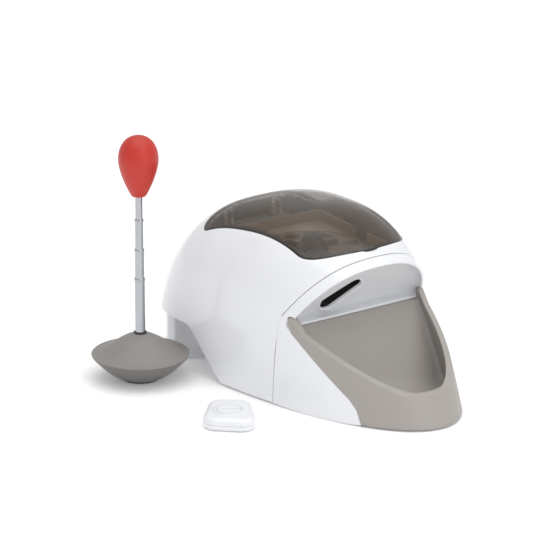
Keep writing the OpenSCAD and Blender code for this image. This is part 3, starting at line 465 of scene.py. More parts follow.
def reach(start, rays, inset):
    """How far each ray from a place goes before it meets the helmet."""

    def inside(s):
        q = start + rays * s[:, None]
        return np.abs(q[:, 0]) < half_width(q[:, 1], q[:, 2], inset)

    return bisect(inside, np.zeros(len(rays)), np.full(len(rays), 4.0))


def on_skin(points, inset=0.0):
    """Points moved along rays from the helmet's heart onto its skin."""
    rays = points - HEART
    return HEART + rays * reach(HEART, rays, inset)[:, None]


def walked(points):
    """How far along a line each of its points lies."""
    return np.concatenate([[0], np.cumsum(np.linalg.norm(np.diff(points, axis=0), axis=1))])


def spaced(points, count):
    """A line of points walked again in equal steps."""
    run = walked(points)
    at = np.linspace(0, run[-1], count)
    return np.column_stack([np.interp(at, run, column) for column in points.T])


def unit(rays):
    return rays / np.linalg.norm(rays, axis=1)[:, None]


def at_height(plan, height):
    return np.column_stack([plan, np.full(len(plan), height)])


def both_halves(left):
    """A line that ends on the middle plane, and its mirror image back from there."""
    return np.concatenate([left, left[-2::-1] * [-1, 1, 1]])


def side_line(points, radii):
    """A side-view line, as y and z, with each inner corner rounded."""
    line = [np.array(points[0], float)]
    for a, b, c, r in zip(points, points[1:], points[2:], radii):
        a, b, c = np.array(a, float), np.array(b, float), np.array(c, float)
        u, v = (a - b) / np.linalg.norm(a - b), (c - b) / np.linalg.norm(c - b)
        back_off = r * tan((pi - acos(u @ v)) / 2)
        for s in np.linspace(0, 1, 9):
            p, q = b + u * back_off * (1 - s), b + v * back_off * s
            line.append(p + (q - p) * s)
    return np.array(line + [np.array(points[-1], float)])


def aside(line, shift):
    """A side-view line moved sideways, to the right of its direction."""
    line = spaced(line, 1200)
    along = unit(np.gradient(line, axis=0))
    return line + shift * np.column_stack([along[:, 1], -along[:, 0]])


def over(line, inset, count):
    """A side-view line carried over the helmet, from its left end to its right end."""
    run = walked(line)

    def at(s):
        return np.interp(s, run, line[:, 0]), np.interp(s, run, line[:, 1])

    start = np.array([run[-1] * 0.2])
    end = bisect(lambda s: half_width(*at(s), inset) > 0, start, run[-1:])[0]
    y, z = at(end * np.sin(np.linspace(0, pi / 2, 900)))
    left = np.column_stack([-half_width(y, z, inset), y, z])
    return spaced(both_halves(left), count)


def rim(line, radius, wall, steps=4):
    """Rows round an edge from the outer skin to the inner; line takes a shift and an inset."""
    turns = [pi / 2 * k / steps for k in range(steps + 1)]
    outer = [line(radius * (1 - sin(a)), radius * (1 - cos(a))) for a in turns]
    inner = [line(radius * (1 - cos(a)), wall - radius * (1 - sin(a))) for a in turns]
    return outer + inner


def between(first, last, count, place):
    """Rows spread between two lines, each moved into place."""
    return [place(first + (last - first) * k / (count + 1)) for k in range(1, count + 1)]


def net(rows, ring=True, around=True):
    """Points and faces of a net whose rows are equally long lines; a row of one point is a pole."""
    points, starts, faces = [], [], []
    for row in rows:
        starts.append(len(points))
        points.extend(row)
    count = max(len(row) for row in rows)
    pairs = [(k, k + 1) for k in range(len(rows) - 1)] + ([(len(rows) - 1, 0)] if around else [])
    for i, j in pairs:
        for k in range(count if ring else count - 1):
            n = (k + 1) % count
            a = [starts[i] + k, starts[i] + n] if len(rows[i]) > 1 else [starts[i]]
            b = [starts[j] + n, starts[j] + k] if len(rows[j]) > 1 else [starts[j]]
            if len(a) + len(b) > 2:
                faces.append(a + b)
    if not ring:
        faces.append(starts[::-1])
        faces.append([s + count - 1 for s in starts])
    return np.array(points), faces


def capped(rows):
    """A net with a pole at the middle of each end row."""
    rows = [np.array(row, float) for row in rows]
    return net([rows[0].mean(axis=0)[None], *rows, rows[-1].mean(axis=0)[None]], around=False)


def make_piece(name, *parts):
    """One mesh from closed parts given in millimetres, each turned the right way out."""
    points, faces = [], []
    for part, part_faces in parts:
        middle = part.mean(axis=0)
        volume = 0.0
        for f in part_faces:
            corners = part[f] - middle
            volume += np.einsum("ij,ij->", corners[1:-1], np.cross(corners[2:], corners[0]))
        base = len(points)
        points.extend(part / 1000)
        faces.extend([base + v for v in (f if volume > 0 else f[::-1])] for f in part_faces)
    mesh = plain_mesh(name, [Vector(p) for p in points], faces)
    mesh.validate()
    piece = add_object(name, mesh)
    shade(piece)
    return piece


# Side-view lines, as Y and Z: the seam beside the cheek, the brim from ear to nose, and the foot.
EAR, EAR_BACK, EAR_TOP = 6.0, -50.0, 96.0
cheek = [(-144.4, EDGE), (-138, 15), (-129.5, 24.5), (EAR_BACK, 86.5), (EAR_BACK, 92)]
brim = [(EAR_BACK, 92), (EAR_BACK, 97), (-57, EAR_TOP), (-70, 81.9), (-173, 34), (-215, 32.2)]
rim_line = side_line(brim, [4.2, EAR, 2, 10])
foot_line = side_line([*cheek[::-1], (-215, EDGE)], [2.9, 8, 8, 0])
BOWL_WALL, FLOOR_WALL, HEM_WALL = 7.0, 2.6, 3.0
BRIM_SOFT, HEM_SOFT = 1.5, 0.7
BOWL_HEART = np.array([0.0, -115.0, 58.0])
FLOOR, PIT_Y, RAMP_FOOT, RAMP_SLOPE = 8.0, -128.0, -116.67, 1.2
RAMP_SOFT, WALL_SOFT = 22.0, 13.0
LEVEL, FAR_OFF = 0.02, 999.0


def soft_least(a, b, width):
    """The smaller of two distances, with the corner between them rounded."""
    near = np.maximum(width - np.abs(a - b), 0) / width
    return np.minimum(a, b) - near**2 * width / 4


def on_cavity(points, outward=0.0):
    """Points moved along rays from the bowl's heart onto its inner wall, ramp or floor."""
    rays = unit(points - BOWL_HEART)
    wall = reach(BOWL_HEART, rays * 100, BOWL_WALL) * 100
    down = -rays[:, 2]
    drop = BOWL_HEART[2] - FLOOR
    floor = np.where(down > LEVEL, drop / np.maximum(down, LEVEL), FAR_OFF)
    toward = rays[:, 1] * RAMP_SLOPE + down
    depth = drop - RAMP_SLOPE * (BOWL_HEART[1] - RAMP_FOOT)
    ramp = np.where(toward > LEVEL, depth / np.maximum(toward, LEVEL), FAR_OFF)
    far = soft_least(wall, soft_least(floor, ramp, RAMP_SOFT), WALL_SOFT)
    return BOWL_HEART + rays * (far + outward)[:, None]


FRONT_COUNT, BACK_COUNT = 260, 64


def bowl_loop(front, y, z):
    """A closed loop: the given line round the nose, then back across the top of the ramp."""
    x = half_width(np.array([y]), np.array([z]), BOWL_WALL + 1)[0]
    across = np.array([front[-1], [x, y, z], [-x, y, z], front[0]])
    return np.concatenate([front, spaced(across, BACK_COUNT + 2)[1:-1]])


def food_bowl():
    brim = rim(lambda s, i: over(aside(rim_line, -s), i, FRONT_COUNT), BRIM_SOFT, BOWL_WALL, 6)
    steps = np.linspace(0, 1, len(brim))
    brim = [bowl_loop(row, -51.6 - 1.9 * s, 82.6 + 1.5 * s) for row, s in zip(brim, steps)]
    brim[-1] = on_cavity(brim[-1])
    hem = rim(lambda s, i: over(aside(foot_line, s), i, FRONT_COUNT), HEM_SOFT, HEM_WALL, 3)
    hem = [bowl_loop(row, -52.4, 81.4 - 0.15 * k) for k, row in enumerate(hem)]
    skin = between(brim[0], hem[0], 26, lambda q: q)
    for row in skin:
        row[:FRONT_COUNT] = on_skin(row[:FRONT_COUNT])
    pit = np.tile([0.0, PIT_Y, FLOOR], (FRONT_COUNT + BACK_COUNT, 1))
    inner = between(brim[-1], pit, 34, on_cavity)
    under = between(hem[-1], pit, 20, lambda q: on_cavity(q, FLOOR_WALL))
    top, bottom = on_cavity(pit[:1]), on_cavity(pit[:1], FLOOR_WALL)
    return net([top, *inner[::-1], *brim[::-1], *skin, *hem, *under, bottom], around=False)


place_piece(make_piece("bowl", food_bowl()), grey_plastic, "dispenser", "grey_bowl", "food_bowl")

# ---- Front bezel ----
# The white brow and cheeks: one glossy ABS moulding. The brow's lip turns in to a shallow dish
# with the tilted treat slot and its raised sill, and a ledge closes the dish at the bottom.
# A near-black liner over the slot's walls is painted shade for the dark slot.

WHITE = (0.79, 0.8, 0.825)
white_plastic = moulded("white_gloss_abs", WHITE, 0.22, 0.00001, 0.012, Coat_Weight=0.4)
LEDGE = 87.0
SKIN, GAP, SEAM_GAP = 3.0, 0.4, 0.9
BROW_LEAN, BROW_BAND = 0.73, 15.6
BEND_Y, BEND_Z = -39.5, 92.0
LEAN = atan(BROW_LEAN)
LIP_Y = BEND_Y - BROW_LEAN * (LEDGE - BEND_Z) - BROW_BAND
BROW_TOP = 175.0
seam_top = (BEND_Y - BROW_LEAN * (BROW_TOP - BEND_Z), BROW_TOP)
seam_line = side_line([(-36, EDGE), (BEND_Y, BEND_Z), seam_top], [8])


def lip_y(z):
    return LIP_Y - BROW_LEAN * (z - LEDGE)


ahead_gap = GAP / cos(LEAN)
ear_meet = (lip_y(EAR_TOP + 0.4) - ahead_gap, EAR_TOP + 0.4)
brow_end = (lip_y(BROW_TOP) - ahead_gap, BROW_TOP)
brow_line = side_line([*cheek[:4], (EAR_BACK, 97), ear_meet, brow_end], [8, 8, 2.9, 4.2, 0.5])
ARCH = 340


def bezel_skin():
    back = rim(lambda s, i: over(aside(seam_line, -SEAM_GAP - s), i, ARCH), 0.5, SKIN, 3)
    front = rim(lambda s, i: over(aside(brow_line, GAP + s), i, ARCH), 0.6, SKIN, 3)
    outer = between(back[0], front[0], 22, on_skin)
    inner = between(front[-1], back[-1], 6, lambda q: on_skin(q, SKIN))
    return net(outer + front + inner + back[::-1], ring=False)


def on_lip(x, p, n):
    """Places on the leaning lip plane: across, up it, and in behind it."""
    y = LIP_Y - p * sin(LEAN) + n * cos(LEAN)
    z = LEDGE + p * cos(LEAN) + n * sin(LEAN)
    return np.column_stack([x, y, z])


def lip_ring(inset, set_back=0.0):
    """The helmet's section through the lip plane, mirrored below the ledge, as x, p and n."""
    low, high = np.array([LEDGE]), np.array([BROW_TOP])
    top = bisect(lambda z: half_width(lip_y(z) + set_back, z, inset) > 0, low, high)[0]
    turn = np.linspace(0, 2 * pi, 2400)
    z = LEDGE + (top - LEDGE) * np.abs(np.sin(turn))
    x = np.sign(np.cos(turn)) * half_width(lip_y(z) + set_back, z, inset)
    up = np.sign(np.sin(turn)) * ((z - LEDGE) / cos(LEAN) - set_back * sin(LEAN))
    ring = spaced(np.column_stack([x, up]), RING_COUNT + 1)[:-1]
    return at_height(ring, set_back * cos(LEAN))


RING_COUNT = 360
DISH, DISH_INSET, DISH_WALL, DISH_MIDDLE, LEDGE_CORNER = 12.0, 3.5, 1.6, 18.0, 7.0
LEDGE_THICK, LEDGE_SOFT, LEDGE_PROUD = 3.2, 0.8, 1.0
RECESS_HEART = np.array([0.0, LIP_Y - 24 * sin(LEAN), LEDGE + 24 * cos(LEAN)])
SLOT_AT, SLOT_TILT = (-22.0, 20.0), radians(44)
SLOT_LONG, SLOT_WIDE, SLOT_FLARE, CUT_DEPTHS = 50.0, 14.0, 1.2, (4.0, 22.0)
SILL_OUT, SILL_HALF, SILL_PROUD, SILL_SUNK = 2.6, 2.4, 4.4, 1.2
LINER_GAP, LINER_INSIDE, LINER_DEPTH = 0.1, 1.3, 18.0
dish_edge = lip_ring(DISH_INSET)[:, :2]


def dish_share(x, p):
    """How far out a place on the lip plane lies, as a share of the dish's edge."""
    bearing = np.arctan2(dish_edge[:, 1], dish_edge[:, 0])
    order = np.argsort(bearing)
    far = np.hypot(*dish_edge[order].T)
    edge = np.interp(np.arctan2(p, x), bearing[order], far, period=2 * pi)
    return np.hypot(x, p) / edge


def dish_depth(x, p):
    return DISH * rounded(np.minimum(dish_share(x, p), 1), 3)


def on_recess(points, outward=0.0):
    """Points moved along rays from the recess's heart onto its dish or its ledge."""
    rays = unit(points - RECESS_HEART)

    def inside(far):
        x, y, z = (RECESS_HEART + rays * far[:, None] - [0, LIP_Y, LEDGE]).T
        n = y * cos(LEAN) + z * sin(LEAN)
        out = dish_share(x, z * cos(LEAN) - y * sin(LEAN))
        return (out**3 + np.maximum(n, 0) ** 3 / DISH**3) < 1

    dish = bisect(inside, np.zeros(len(rays)), np.full(len(rays), 120.0))
    ledge = (LEDGE - RECESS_HEART[2]) / np.minimum(rays[:, 2], -LEVEL)
    return RECESS_HEART + rays * (soft_least(dish, ledge, LEDGE_CORNER) + outward)[:, None]


def recess_loop(inset, set_back, y, z):
    """A closed loop: the arch of the lip from right to left, then back along the ledge's front."""
    arch = lip_ring(inset, set_back)
    arch = on_lip(*spaced(arch[: len(arch) // 2 + 1], 220).T)
    front = np.linspace(arch[-1], arch[0], 122)[1:-1]
    front[:, 1:] = y, z
    return np.concatenate([arch, front])


def brow_recess():
    front, under, soft = LIP_Y - LEDGE_PROUD, LEDGE - LEDGE_THICK, LEDGE_SOFT
    rows = [recess_loop(1.6, 1.0, front + soft, under), recess_loop(2.0, 0.3, front, under + soft)]
    for a in np.linspace(0, 1, 6) * pi / 2:
        y, z = front + soft * (1 - cos(a)), LEDGE - soft * (1 - sin(a))
        rows.append(recess_loop(2.4 + 1.1 * sin(a), 1.1 * (1 - cos(a)), y, z))
    deepest = on_lip(np.zeros(1), np.array([DISH_MIDDLE]), DISH)
    middle = np.tile(deepest, (len(rows[-1]), 1))
    inner = between(rows[-1], middle, 40, on_recess)
    behind = between(middle, rows[-1], 12, lambda q: on_recess(q, DISH_WALL))
    return net([*rows, *inner, on_recess(deepest), on_recess(deepest, DISH_WALL), *behind])


def stadium(length, width, count, flare=0.0):
    """The slot's outline, turned by its tilt, its sides flared most towards its low end."""
    turn = full_turn(count)
    x = np.cos(turn) * width / 2 + np.sign(np.cos(turn)) * (length - width) / 2
    share = 2 * x / length
    low_end = np.where(np.sin(turn) > 0, 0.6 - 0.6 * share, 0.1 - 0.4 * share)
    y = np.sin(turn) * width / 2 * (1 + flare * (1 - share**2) * low_end)
    across = x * cos(SLOT_TILT) - y * sin(SLOT_TILT)
    return np.column_stack([across, x * sin(SLOT_TILT) + y * cos(SLOT_TILT)]) + SLOT_AT


def combine(piece, other, operation):
    """Cuts or joins a piece with another closed piece, which is used up."""
    change = piece.modifiers.new("change", "BOOLEAN")
    change.object, change.operation, change.solver = other, operation, "MANIFOLD"
    settle(piece)
    bpy.data.objects.remove(other)
    shade(piece)


def cut(piece, *shapes):
    for shape in shapes:
        combine(piece, make_piece("cutter", shape), "DIFFERENCE")


def slot_cutter():
    outline = stadium(SLOT_LONG, SLOT_WIDE, 72, SLOT_FLARE)
    return capped([on_lip(*outline.T, depth) for depth in CUT_DEPTHS])


def slot_sill():
    """The rounded bar along the slot's lower edge, swept round half of the slot's outline."""
    rows = []
    for a in full_turn(16):
        wide, up = SLOT_WIDE + SILL_OUT + SILL_HALF * cos(a), 0.5 + 0.5 * sin(a)
        line = stadium(SLOT_LONG - SLOT_WIDE + wide, wide, 96, SLOT_FLARE)[46:98]
        ends = np.sin(np.linspace(0.1, pi - 0.1, len(line))) ** 0.5
        depth = dish_depth(*line.T) + 0.8 - SILL_PROUD * ends * up + SILL_SUNK * (1 - up)
        rows.append(on_lip(*line.T, depth))
    return net(rows, ring=False)


def slot_shade_liner():
    """A near-black liner that covers the slot's wall up to the dish: painted shade for the dark
    slot.
    """
    rows = []
    for less, flares in ((LINER_GAP, (SLOT_FLARE, 0.0)), (LINER_INSIDE, (0.0, SLOT_FLARE))):
        for flare in flares:
            line = stadium(SLOT_LONG - less, SLOT_WIDE - less, 96, flare)
            depth = dish_depth(*line.T) + 0.15 if flare else LINER_DEPTH
            rows.append(on_lip(*line.T, depth))
    return net(rows)


lip = make_piece("brow_lip", brow_recess())
cut(lip, slot_cutter())
place_piece(lip, white_plastic, "dispenser", "white_shell")
bezel = make_piece("bezel", bezel_skin(), slot_sill())
place_piece(bezel, white_plastic, "dispenser", "white_shell", "front_bezel")
# The liner's near-black, darker than the chute's own plastic, is painted shade.
slot_shade_black = moulded("slot_shade_black", (0.005, 0.005, 0.006), 0.75, 0.00005)
place_piece(make_piece("slot_shade_liner", slot_shade_liner()), slot_shade_black, "dispenser", "dark_plastic")

# ---- Main housing ----
# The big white cover: one glossy ABS moulding 3 mm thick, with the lid's opening and its rest,
# a finger scoop in the forehead, notches for the hinge arms and the rear panel's pocket. The
# display's character cells stand behind the panel's window.

TAIL_EDGE, EDGE_RISE, HEM_SLOPE, HEM_SOFT_CORNER = 50.0, 43.0, 0.87, 7.0
SEAM_COUNT, HEM_COUNT = 340, 420


def hem_line(lift, inset):
    """The cover's lower edge, from its right foot round the tail to its left foot."""
    y = np.linspace(-36 + lift, 140, 600)
    rise = EDGE + HEM_SLOPE * (y - EDGE_RISE)
    z = np.maximum(soft_least(rise, TAIL_EDGE, HEM_SOFT_CORNER), EDGE) + lift
    side = np.column_stack([half_width(y, z, inset), y, z])
    t = (TAIL_EDGE + lift) / (HEIGHT - inset)
    power, middle = 2 / plan_bend(t, False), widest_at(t)
    turn = np.linspace(0, pi / 2, 500)
    x = (HALF - inset) * rounded(t, SIDE_BEND) * np.cos(turn) ** power
    y = middle + (tail_end(t, inset) - middle) * np.sin(turn) ** power
    tail = at_height(np.column_stack([x, y]), TAIL_EDGE + lift)
    right = np.concatenate([side, tail[tail[:, 1] > 141]])
    return spaced(both_halves(right), HEM_COUNT)


def roof(x, y, inset=0.0):
    """Height of the skin above a place in plan."""
    low, high = np.full(len(x), 45.0), np.full(len(x), HEIGHT - inset)
    return bisect(lambda z: np.abs(x) < half_width(y, z, inset), low, high)


LID_OVAL, LID_OVAL_AT = np.array([66.5, 42.0]), np.array([0.0, -35.0])
LID_CORNER, LID_CORNER_AT = 17.0, (63.5, 101.0)
LID_SPLIT_Y, LID_STEPS = -10, 6000


def lid_line(grow, inset):
    """The lid's outline on the skin: round its front from left to right, then round its back."""
    turn = np.linspace(-pi, pi, LID_STEPS + 1)[:-1]
    out = np.column_stack([np.sin(turn), -np.cos(turn)])
    oval = out * LID_OVAL**2 / np.sqrt((out**2 * LID_OVAL**2).sum(axis=1))[:, None] + LID_OVAL_AT
    corner_x = np.where(out[:, 0] < 0, -LID_CORNER_AT[0], LID_CORNER_AT[0])
    corner = out * LID_CORNER + np.column_stack([corner_x, np.full(LID_STEPS, LID_CORNER_AT[1])])
    outer = ((corner - oval) * out).sum(axis=1) > 0
    plan = np.where(outer[:, None], corner, oval) + out * grow
    plan = spaced(np.concatenate([plan, plan[:1]]), LID_STEPS + 1)[:-1]
    start = np.argmin(np.abs(plan[:, 1] - LID_SPLIT_Y) + 1000 * (plan[:, 0] > 0))
    plan = np.roll(plan, -start, axis=0)
    split = np.argmin(np.abs(plan[:, 1] - LID_SPLIT_Y) + 1000 * (plan[:, 0] < 0))
    plan = np.concatenate([plan, plan[:1]])
    front, back = spaced(plan[: split + 1], SEAM_COUNT), spaced(plan[split:], HEM_COUNT)
    plan = np.concatenate([front, back[1:-1]])
    return np.column_stack([plan, roof(plan[:, 0], plan[:, 1], inset)])


def cover_line(shift, inset):
    """The cover's free edge: up the front seam and over, then back along its hem."""
    front = over(aside(seam_line, shift), inset, SEAM_COUNT)
    return np.concatenate([front, hem_line(shift, inset)[1:-1]])


# The lid's rest in section, as a growth of its outline and a depth under the skin.
LID_REST = [(0.8, 0), (0.35, 0.1), (0.08, 0.36), (0, 0.8), (0, 2.5), (-4.7, 2.5), (-5, 2.8)]
LID_REST += [(-5, 4.4), (-4.7, 4.7), (3.7, 4.7), (4, 4.4), (4.2, 3.3)]


def cover():
    rest = [lid_line(grow, inset) for grow, inset in LID_REST]
    foot = rim(cover_line, 0.6, SKIN, 3)
    outer = between(rest[0], foot[0], 44, on_skin)
    inner = between(foot[-1], rest[-1], 14, lambda q: on_skin(q, SKIN))
    return net(rest[::-1] + outer + foot + inner)


PANEL_H, PANEL_TILT = 100.0, radians(22.4)
PANEL_Y = tail_end(PANEL_H / HEIGHT)
# Width, height, corner radius, and from how deep to how far out each block runs.
PANEL_TRAY, PANEL_POCKET = (97, 51, 7.5, -9, 12), (92, 46, 5, -6, 24)
PANEL_OPENING = (84, 38, 3, -26, 4)


def on_panel(x, y, n):
    """Places on the rear panel: across, up it and out of it."""
    back = PANEL_Y - y * sin(PANEL_TILT) + n * cos(PANEL_TILT)
    up = PANEL_H + y * cos(PANEL_TILT) + n * sin(PANEL_TILT)
    return np.column_stack([-x, back, up])


def panel_block(width, height, radius, low, high):
    """A block with round corners, square to the rear panel."""
    turn = full_turn(64) + pi / 64
    x = np.sign(np.cos(turn)) * (width / 2 - radius) + radius * np.cos(turn)
    y = np.sign(np.sin(turn)) * (height / 2 - radius) + radius * np.sin(turn)
    return capped([on_panel(x, y, n) for n in (low, high)])


def core(inset):
    """The closed helmet a little under the skin."""
    ring = at_height(on_circle(full_turn(160)) * [90, 120] + [0, 60], 20.0)
    rows = [on_skin(ring + [0, 0, h], inset) for h in np.linspace(0, 60, 24)]
    crown = np.array([[0.0, 60.0, 180.0]])
    rows += between(rows[-1], np.tile(crown, (160, 1)), 24, lambda q: on_skin(q, inset))
    return net([np.array([[0.0, 60.0, 15.0]]), *rows, on_skin(crown, inset)], around=False)


HINGE_Y, HINGE_Z, HINGE_X, SWING_HALF = 131.0, 153.0, 32.0, 65.0
LID_GAP, LID_WALL, LID_REAR = 0.6, 2.3, 117.7


def swing(low, high, start, stop):
    """The room that the lid's rear edge sweeps round the hinge, from low inside it to high."""
    rows = []
    x = np.linspace(-SWING_HALF, SWING_HALF, 41)
    edge_z = roof(x, np.full(41, LID_REAR), LID_WALL / 2)
    edge = np.hypot(HINGE_Y - LID_REAR, edge_z - HINGE_Z)
    turn = np.radians(np.linspace(start, stop, 60))
    angle = np.concatenate([turn, turn[::-1]])
    for side, far in zip(x, edge):
        radius = np.repeat([far + low, far + high], len(turn))
        y, z = HINGE_Y - radius * np.cos(angle), HINGE_Z + radius * np.sin(angle)
        rows.append(np.column_stack([np.full(len(y), side), y, z]))
    return capped(rows)


def brick(low, high):
    x, y, z = zip(low, high)
    ring = [(x[0], y[0]), (x[1], y[0]), (x[1], y[1]), (x[0], y[1])]
    return capped([[[a, b, h] for a, b in ring] for h in z])


SCOOP_AT, SCOOP_HALVES, SCOOP_LEAN = [0.0, -76.6, 160.0], [11.0, 4.2, 1.9], atan(0.62)


def finger_scoop():
    """A shallow ellipsoid let into the forehead at the lid's front edge."""
    rows = [np.array([[0.0, 0.0, -1.0]])]
    for a in np.radians(np.linspace(-80, 80, 17)):
        ring = on_circle(full_turn(48)) * cos(a)
        rows.append(at_height(ring, sin(a)))
    rows.append(np.array([[0.0, 0.0, 1.0]]))
    c, s = cos(SCOOP_LEAN), sin(SCOOP_LEAN)
    lean = np.array([[1, 0, 0], [0, c, s], [0, -s, c]])
    return net([row * SCOOP_HALVES @ lean + SCOOP_AT for row in rows], around=False)


housing = make_piece("cover", cover())
tray = make_piece("panel_tray", panel_block(*PANEL_TRAY))
combine(tray, make_piece("core", core(1.5)), "INTERSECT")
combine(housing, tray, "UNION")
cut(housing, panel_block(*PANEL_POCKET), panel_block(*PANEL_OPENING), finger_scoop())
for middle in (-HINGE_X, HINGE_X):
    cut(housing, brick((middle - 3.3, HINGE_Y - 18, 100), (middle + 3.3, HINGE_Y + 5, 200)))
cut(housing, swing(-0.3, 9, 0, 100))
place_piece(housing, white_plastic, "dispenser", "white_shell", "main_housing")

# The tray's tub under the tail is white as well; its flat faces are merged so that they look flat.
tub = add_object("tail_tub", nodes["base_tray"].data.copy())
merged = bmesh.new()
merged.from_mesh(tub.data)
bmesh.ops.remove_doubles(merged, verts=merged.verts, dist=0.000001)
bmesh.ops.dissolve_limit(merged, angle_limit=0.005, verts=merged.verts, edges=merged.edges)
merged.to_mesh(tub.data)
merged.free()
shade(tub, 30)
tub.modifiers.new("flat_faces", "WEIGHTED_NORMAL").keep_sharp = True
place_piece(tub, white_plastic, "dispenser", "white_shell", "base_tray")
dress("battery_door", white_plastic)
dress("control_panel", grey_plastic)


def character_cells():
    """The display's character cells: thin blocks in columns and rows."""
    lengths = "Pitch Across", "Pitch Up", "Cell Width", "Cell Height", "Cell Depth"
    tree, size = new_tree("character_cells", ["Columns", "Rows"], lengths)
    across, rise = size["Pitch Across"], size["Pitch Up"]
    grid = {"Size X": across * (size["Columns"] - 1), "Size Y": rise * (size["Rows"] - 1)}
    grid |= {"Vertices X": size["Columns"], "Vertices Y": size["Rows"]}
    places = across.node("GeometryNodeMeshGrid", grid)
    sides = {"X": size["Cell Width"], "Y": size["Cell Height"], "Z": size["Cell Depth"]}
    sides = across.node("ShaderNodeCombineXYZ", sides)
    block = across.node("GeometryNodeMeshCube", {"Size": sides})
    end_tree(size, spread(block, places))
    return tree


cell_glass = moulded("display_cell", (0.11, 0.125, 0.1), 0.3, 0.00001)
cells = {"Finish": cell_glass, "Columns": 16, "Rows": 2}
cells |= {"Pitch Across": 0.00245, "Pitch Up": 0.0072}
cells |= {"Cell Width": 0.0019, "Cell Height": 0.0054, "Cell Depth": 0.0003}
panel_frame = on_panel(*np.eye(3, 4))
panel_turn = Matrix((panel_frame[:3] - panel_frame[3]).T.tolist()).to_4x4()
display_at = on_panel(*np.array([[-18.0], [5.0], [-5.0]]))[0] / 1000
stand = Matrix.Translation(display_at.tolist()) @ panel_turn
display = grown("display_cells", character_cells(), [(0, 0, 0)], cells, stand)
place_piece(display, cell_glass, "dispenser", "dark_plastic")

# ---- Lid ----
# The smoked lid: clear polycarbonate with a brown tint, 2.3 mm thick, polished on both faces,
# so that the hopper and the feeder's disk show darkly through it.

TINT, RIM_PAINTED_SHADE, SLANT_TINT = 0.28, 0.55, 0.55


def smoked_clear():
    """Brown clear plastic, deeper where seen aslant, with haze and wipe marks, and painted shade at
    its rim, which is near-black and more opaque.
    """
    material, place = new_material("smoked_polycarbonate", Coat_Weight=0.3)
    haze, wiped = noise(place, 30, 3), noise(place, 140, 4)
    edge = place.node("ShaderNodeAttribute", output=2, attribute_name="rim_share")
    slant = place.node("ShaderNodeLayerWeight", {"Blend": 0.5}, 1)
    body = blend_colour(haze, (0.092, 0.068, 0.05), (0.125, 0.096, 0.074))
    # Painted shade: towards the rim the colour turns near-black and the plastic more opaque.
    tint = blend_colour(edge, body, (0.014, 0.011, 0.009))
    clear = 1 - (TINT + (haze - 0.5) * 0.1 + edge * RIM_PAINTED_SHADE)
    clear = clear * (1 - slant.maths("POWER", slant, 4.0) * SLANT_TINT)
    bumps, gloss = noise(place, 60, 1), 0.11 + wiped * 0.1
    return surface(material, bumps, 0.00002, Base_Color=tint, Alpha=1 - clear, Roughness=gloss)


smoked = smoked_clear()


def lid_shell():
    edge = rim(lambda s, i: lid_line(-LID_GAP - s, i), 0.5, LID_WALL, 3)
    middle = np.tile([0.0, 20.0, 180.0], (len(edge[0]), 1))
    outer = between(edge[0], middle, 40, on_skin)
    inner = between(edge[-1], middle, 24, lambda q: on_skin(q, LID_WALL))
    top, under = on_skin(middle[:1]), on_skin(middle[:1], LID_WALL)
    return net([top, *outer[::-1], *edge, *inner, under], around=False)


def mark_rim(piece, outline, width):
    """Stores how near each point lies to an outline in plan: 1 on it, 0 at a width from it."""
    mesh = piece.data
    plan = np.empty(len(mesh.vertices) * 3, np.float32)
    mesh.vertices.foreach_get("co", plan)
    plan = plan.reshape(-1, 3)[:, :2] * 1000
    near = []
    for some in np.array_split(plan, 40):
        near.append(np.linalg.norm(some[:, None] - outline[None], axis=2).min(axis=1))
    share = np.maximum(1 - np.concatenate(near) / width, 0).astype(np.float32)
    mesh.attributes.new("rim_share", "FLOAT", "POINT").data.foreach_set("value", share)


lid = make_piece("lid_shell", lid_shell())
cut(lid, swing(-9, 0.3, -40, 120))
# The nearness to the rim sets where the lid's painted shade lies.
mark_rim(lid, lid_line(-LID_GAP, 0.0)[:, :2], 5.5)
place_piece(lid, smoked, "lid", "smoked_lid", "lid")
dress("lid_hinge_arms display_window", smoked)

# ---- Target wand ----
# A weighted saucer foot in warm grey plastic, a chrome-plated brass telescope with a rolled ring
# at the top of each tube, and a red egg-shaped tip moulded in satin plastic.

WAND_AT, FLOOR_Z = np.array([-160.0, 112.0]), -1.5
SAUCER_R, SOCKET_R, BRIM_Z, BELL_RISE = 52, 7.0, 28, 23
BASE_R, BASE_Z, UNDER_RISE = 20, 2, 24.5


def turned(profile, count=128):
    """A closed solid turned about the wand's axis, from its profile of radius and height."""
    rows = []
    for r, z in profile:
        ring = on_circle(full_turn(count if r > 0 else 1)) * r + WAND_AT
        rows.append(at_height(ring, z))
    return net(rows, around=profile[0][0] > 0)


def saucer():
    """A low bell over a bowed underside, with a soft brim between and a hole for the socket."""
    top = []
    for r in np.linspace(7.6, 48, 40):
        bell = 0.5 + 0.5 * cos(pi * r / SAUCER_R)
        top.append((r, BRIM_Z + BELL_RISE * bell**0.85))
    brim = [(49.4, 28.35), (50.6, 28.6), (51.4, 28.5), (51.9, 28.1), (SAUCER_R, 27.5), (51.7, 26.9)]
    under = []
    for r in np.linspace(51.2, BASE_R, 30):
        under.append((r, BASE_Z + UNDER_RISE * ((r - BASE_R) / (SAUCER_R - BASE_R)) ** 1.5))
    profile = [(SOCKET_R, 50.4), *top, *brim, *under, (SOCKET_R, BASE_Z)]
    return turned([(r, z + FLOOR_Z) for r, z in profile])


def painted_shade_underside(name, upper, lower, height, roughness, depth):
    """Moulded plastic whose underside, below a height, has painted shade: a darker grey than its
    upper face.
    """
    material, place = new_material(name)
    rise = along_axis(place, 2)
    inputs = {0: rise, 1: height - 0.0006, 2: height + 0.0006}
    share = rise.node("ShaderNodeMapRange", inputs)
    flow, grain, gloss = moulded_gloss(place, roughness)
    below = blend_colour(flow, [c * 0.94 for c in lower], lower)
    above = blend_colour(flow, [c * 0.95 for c in upper], upper)
    # Painted shade: below the height the colour turns to the darker grey.
    tint = blend_colour(share, below, above)
    return surface(material, grain, depth, Base_Color=tint, Roughness=gloss)
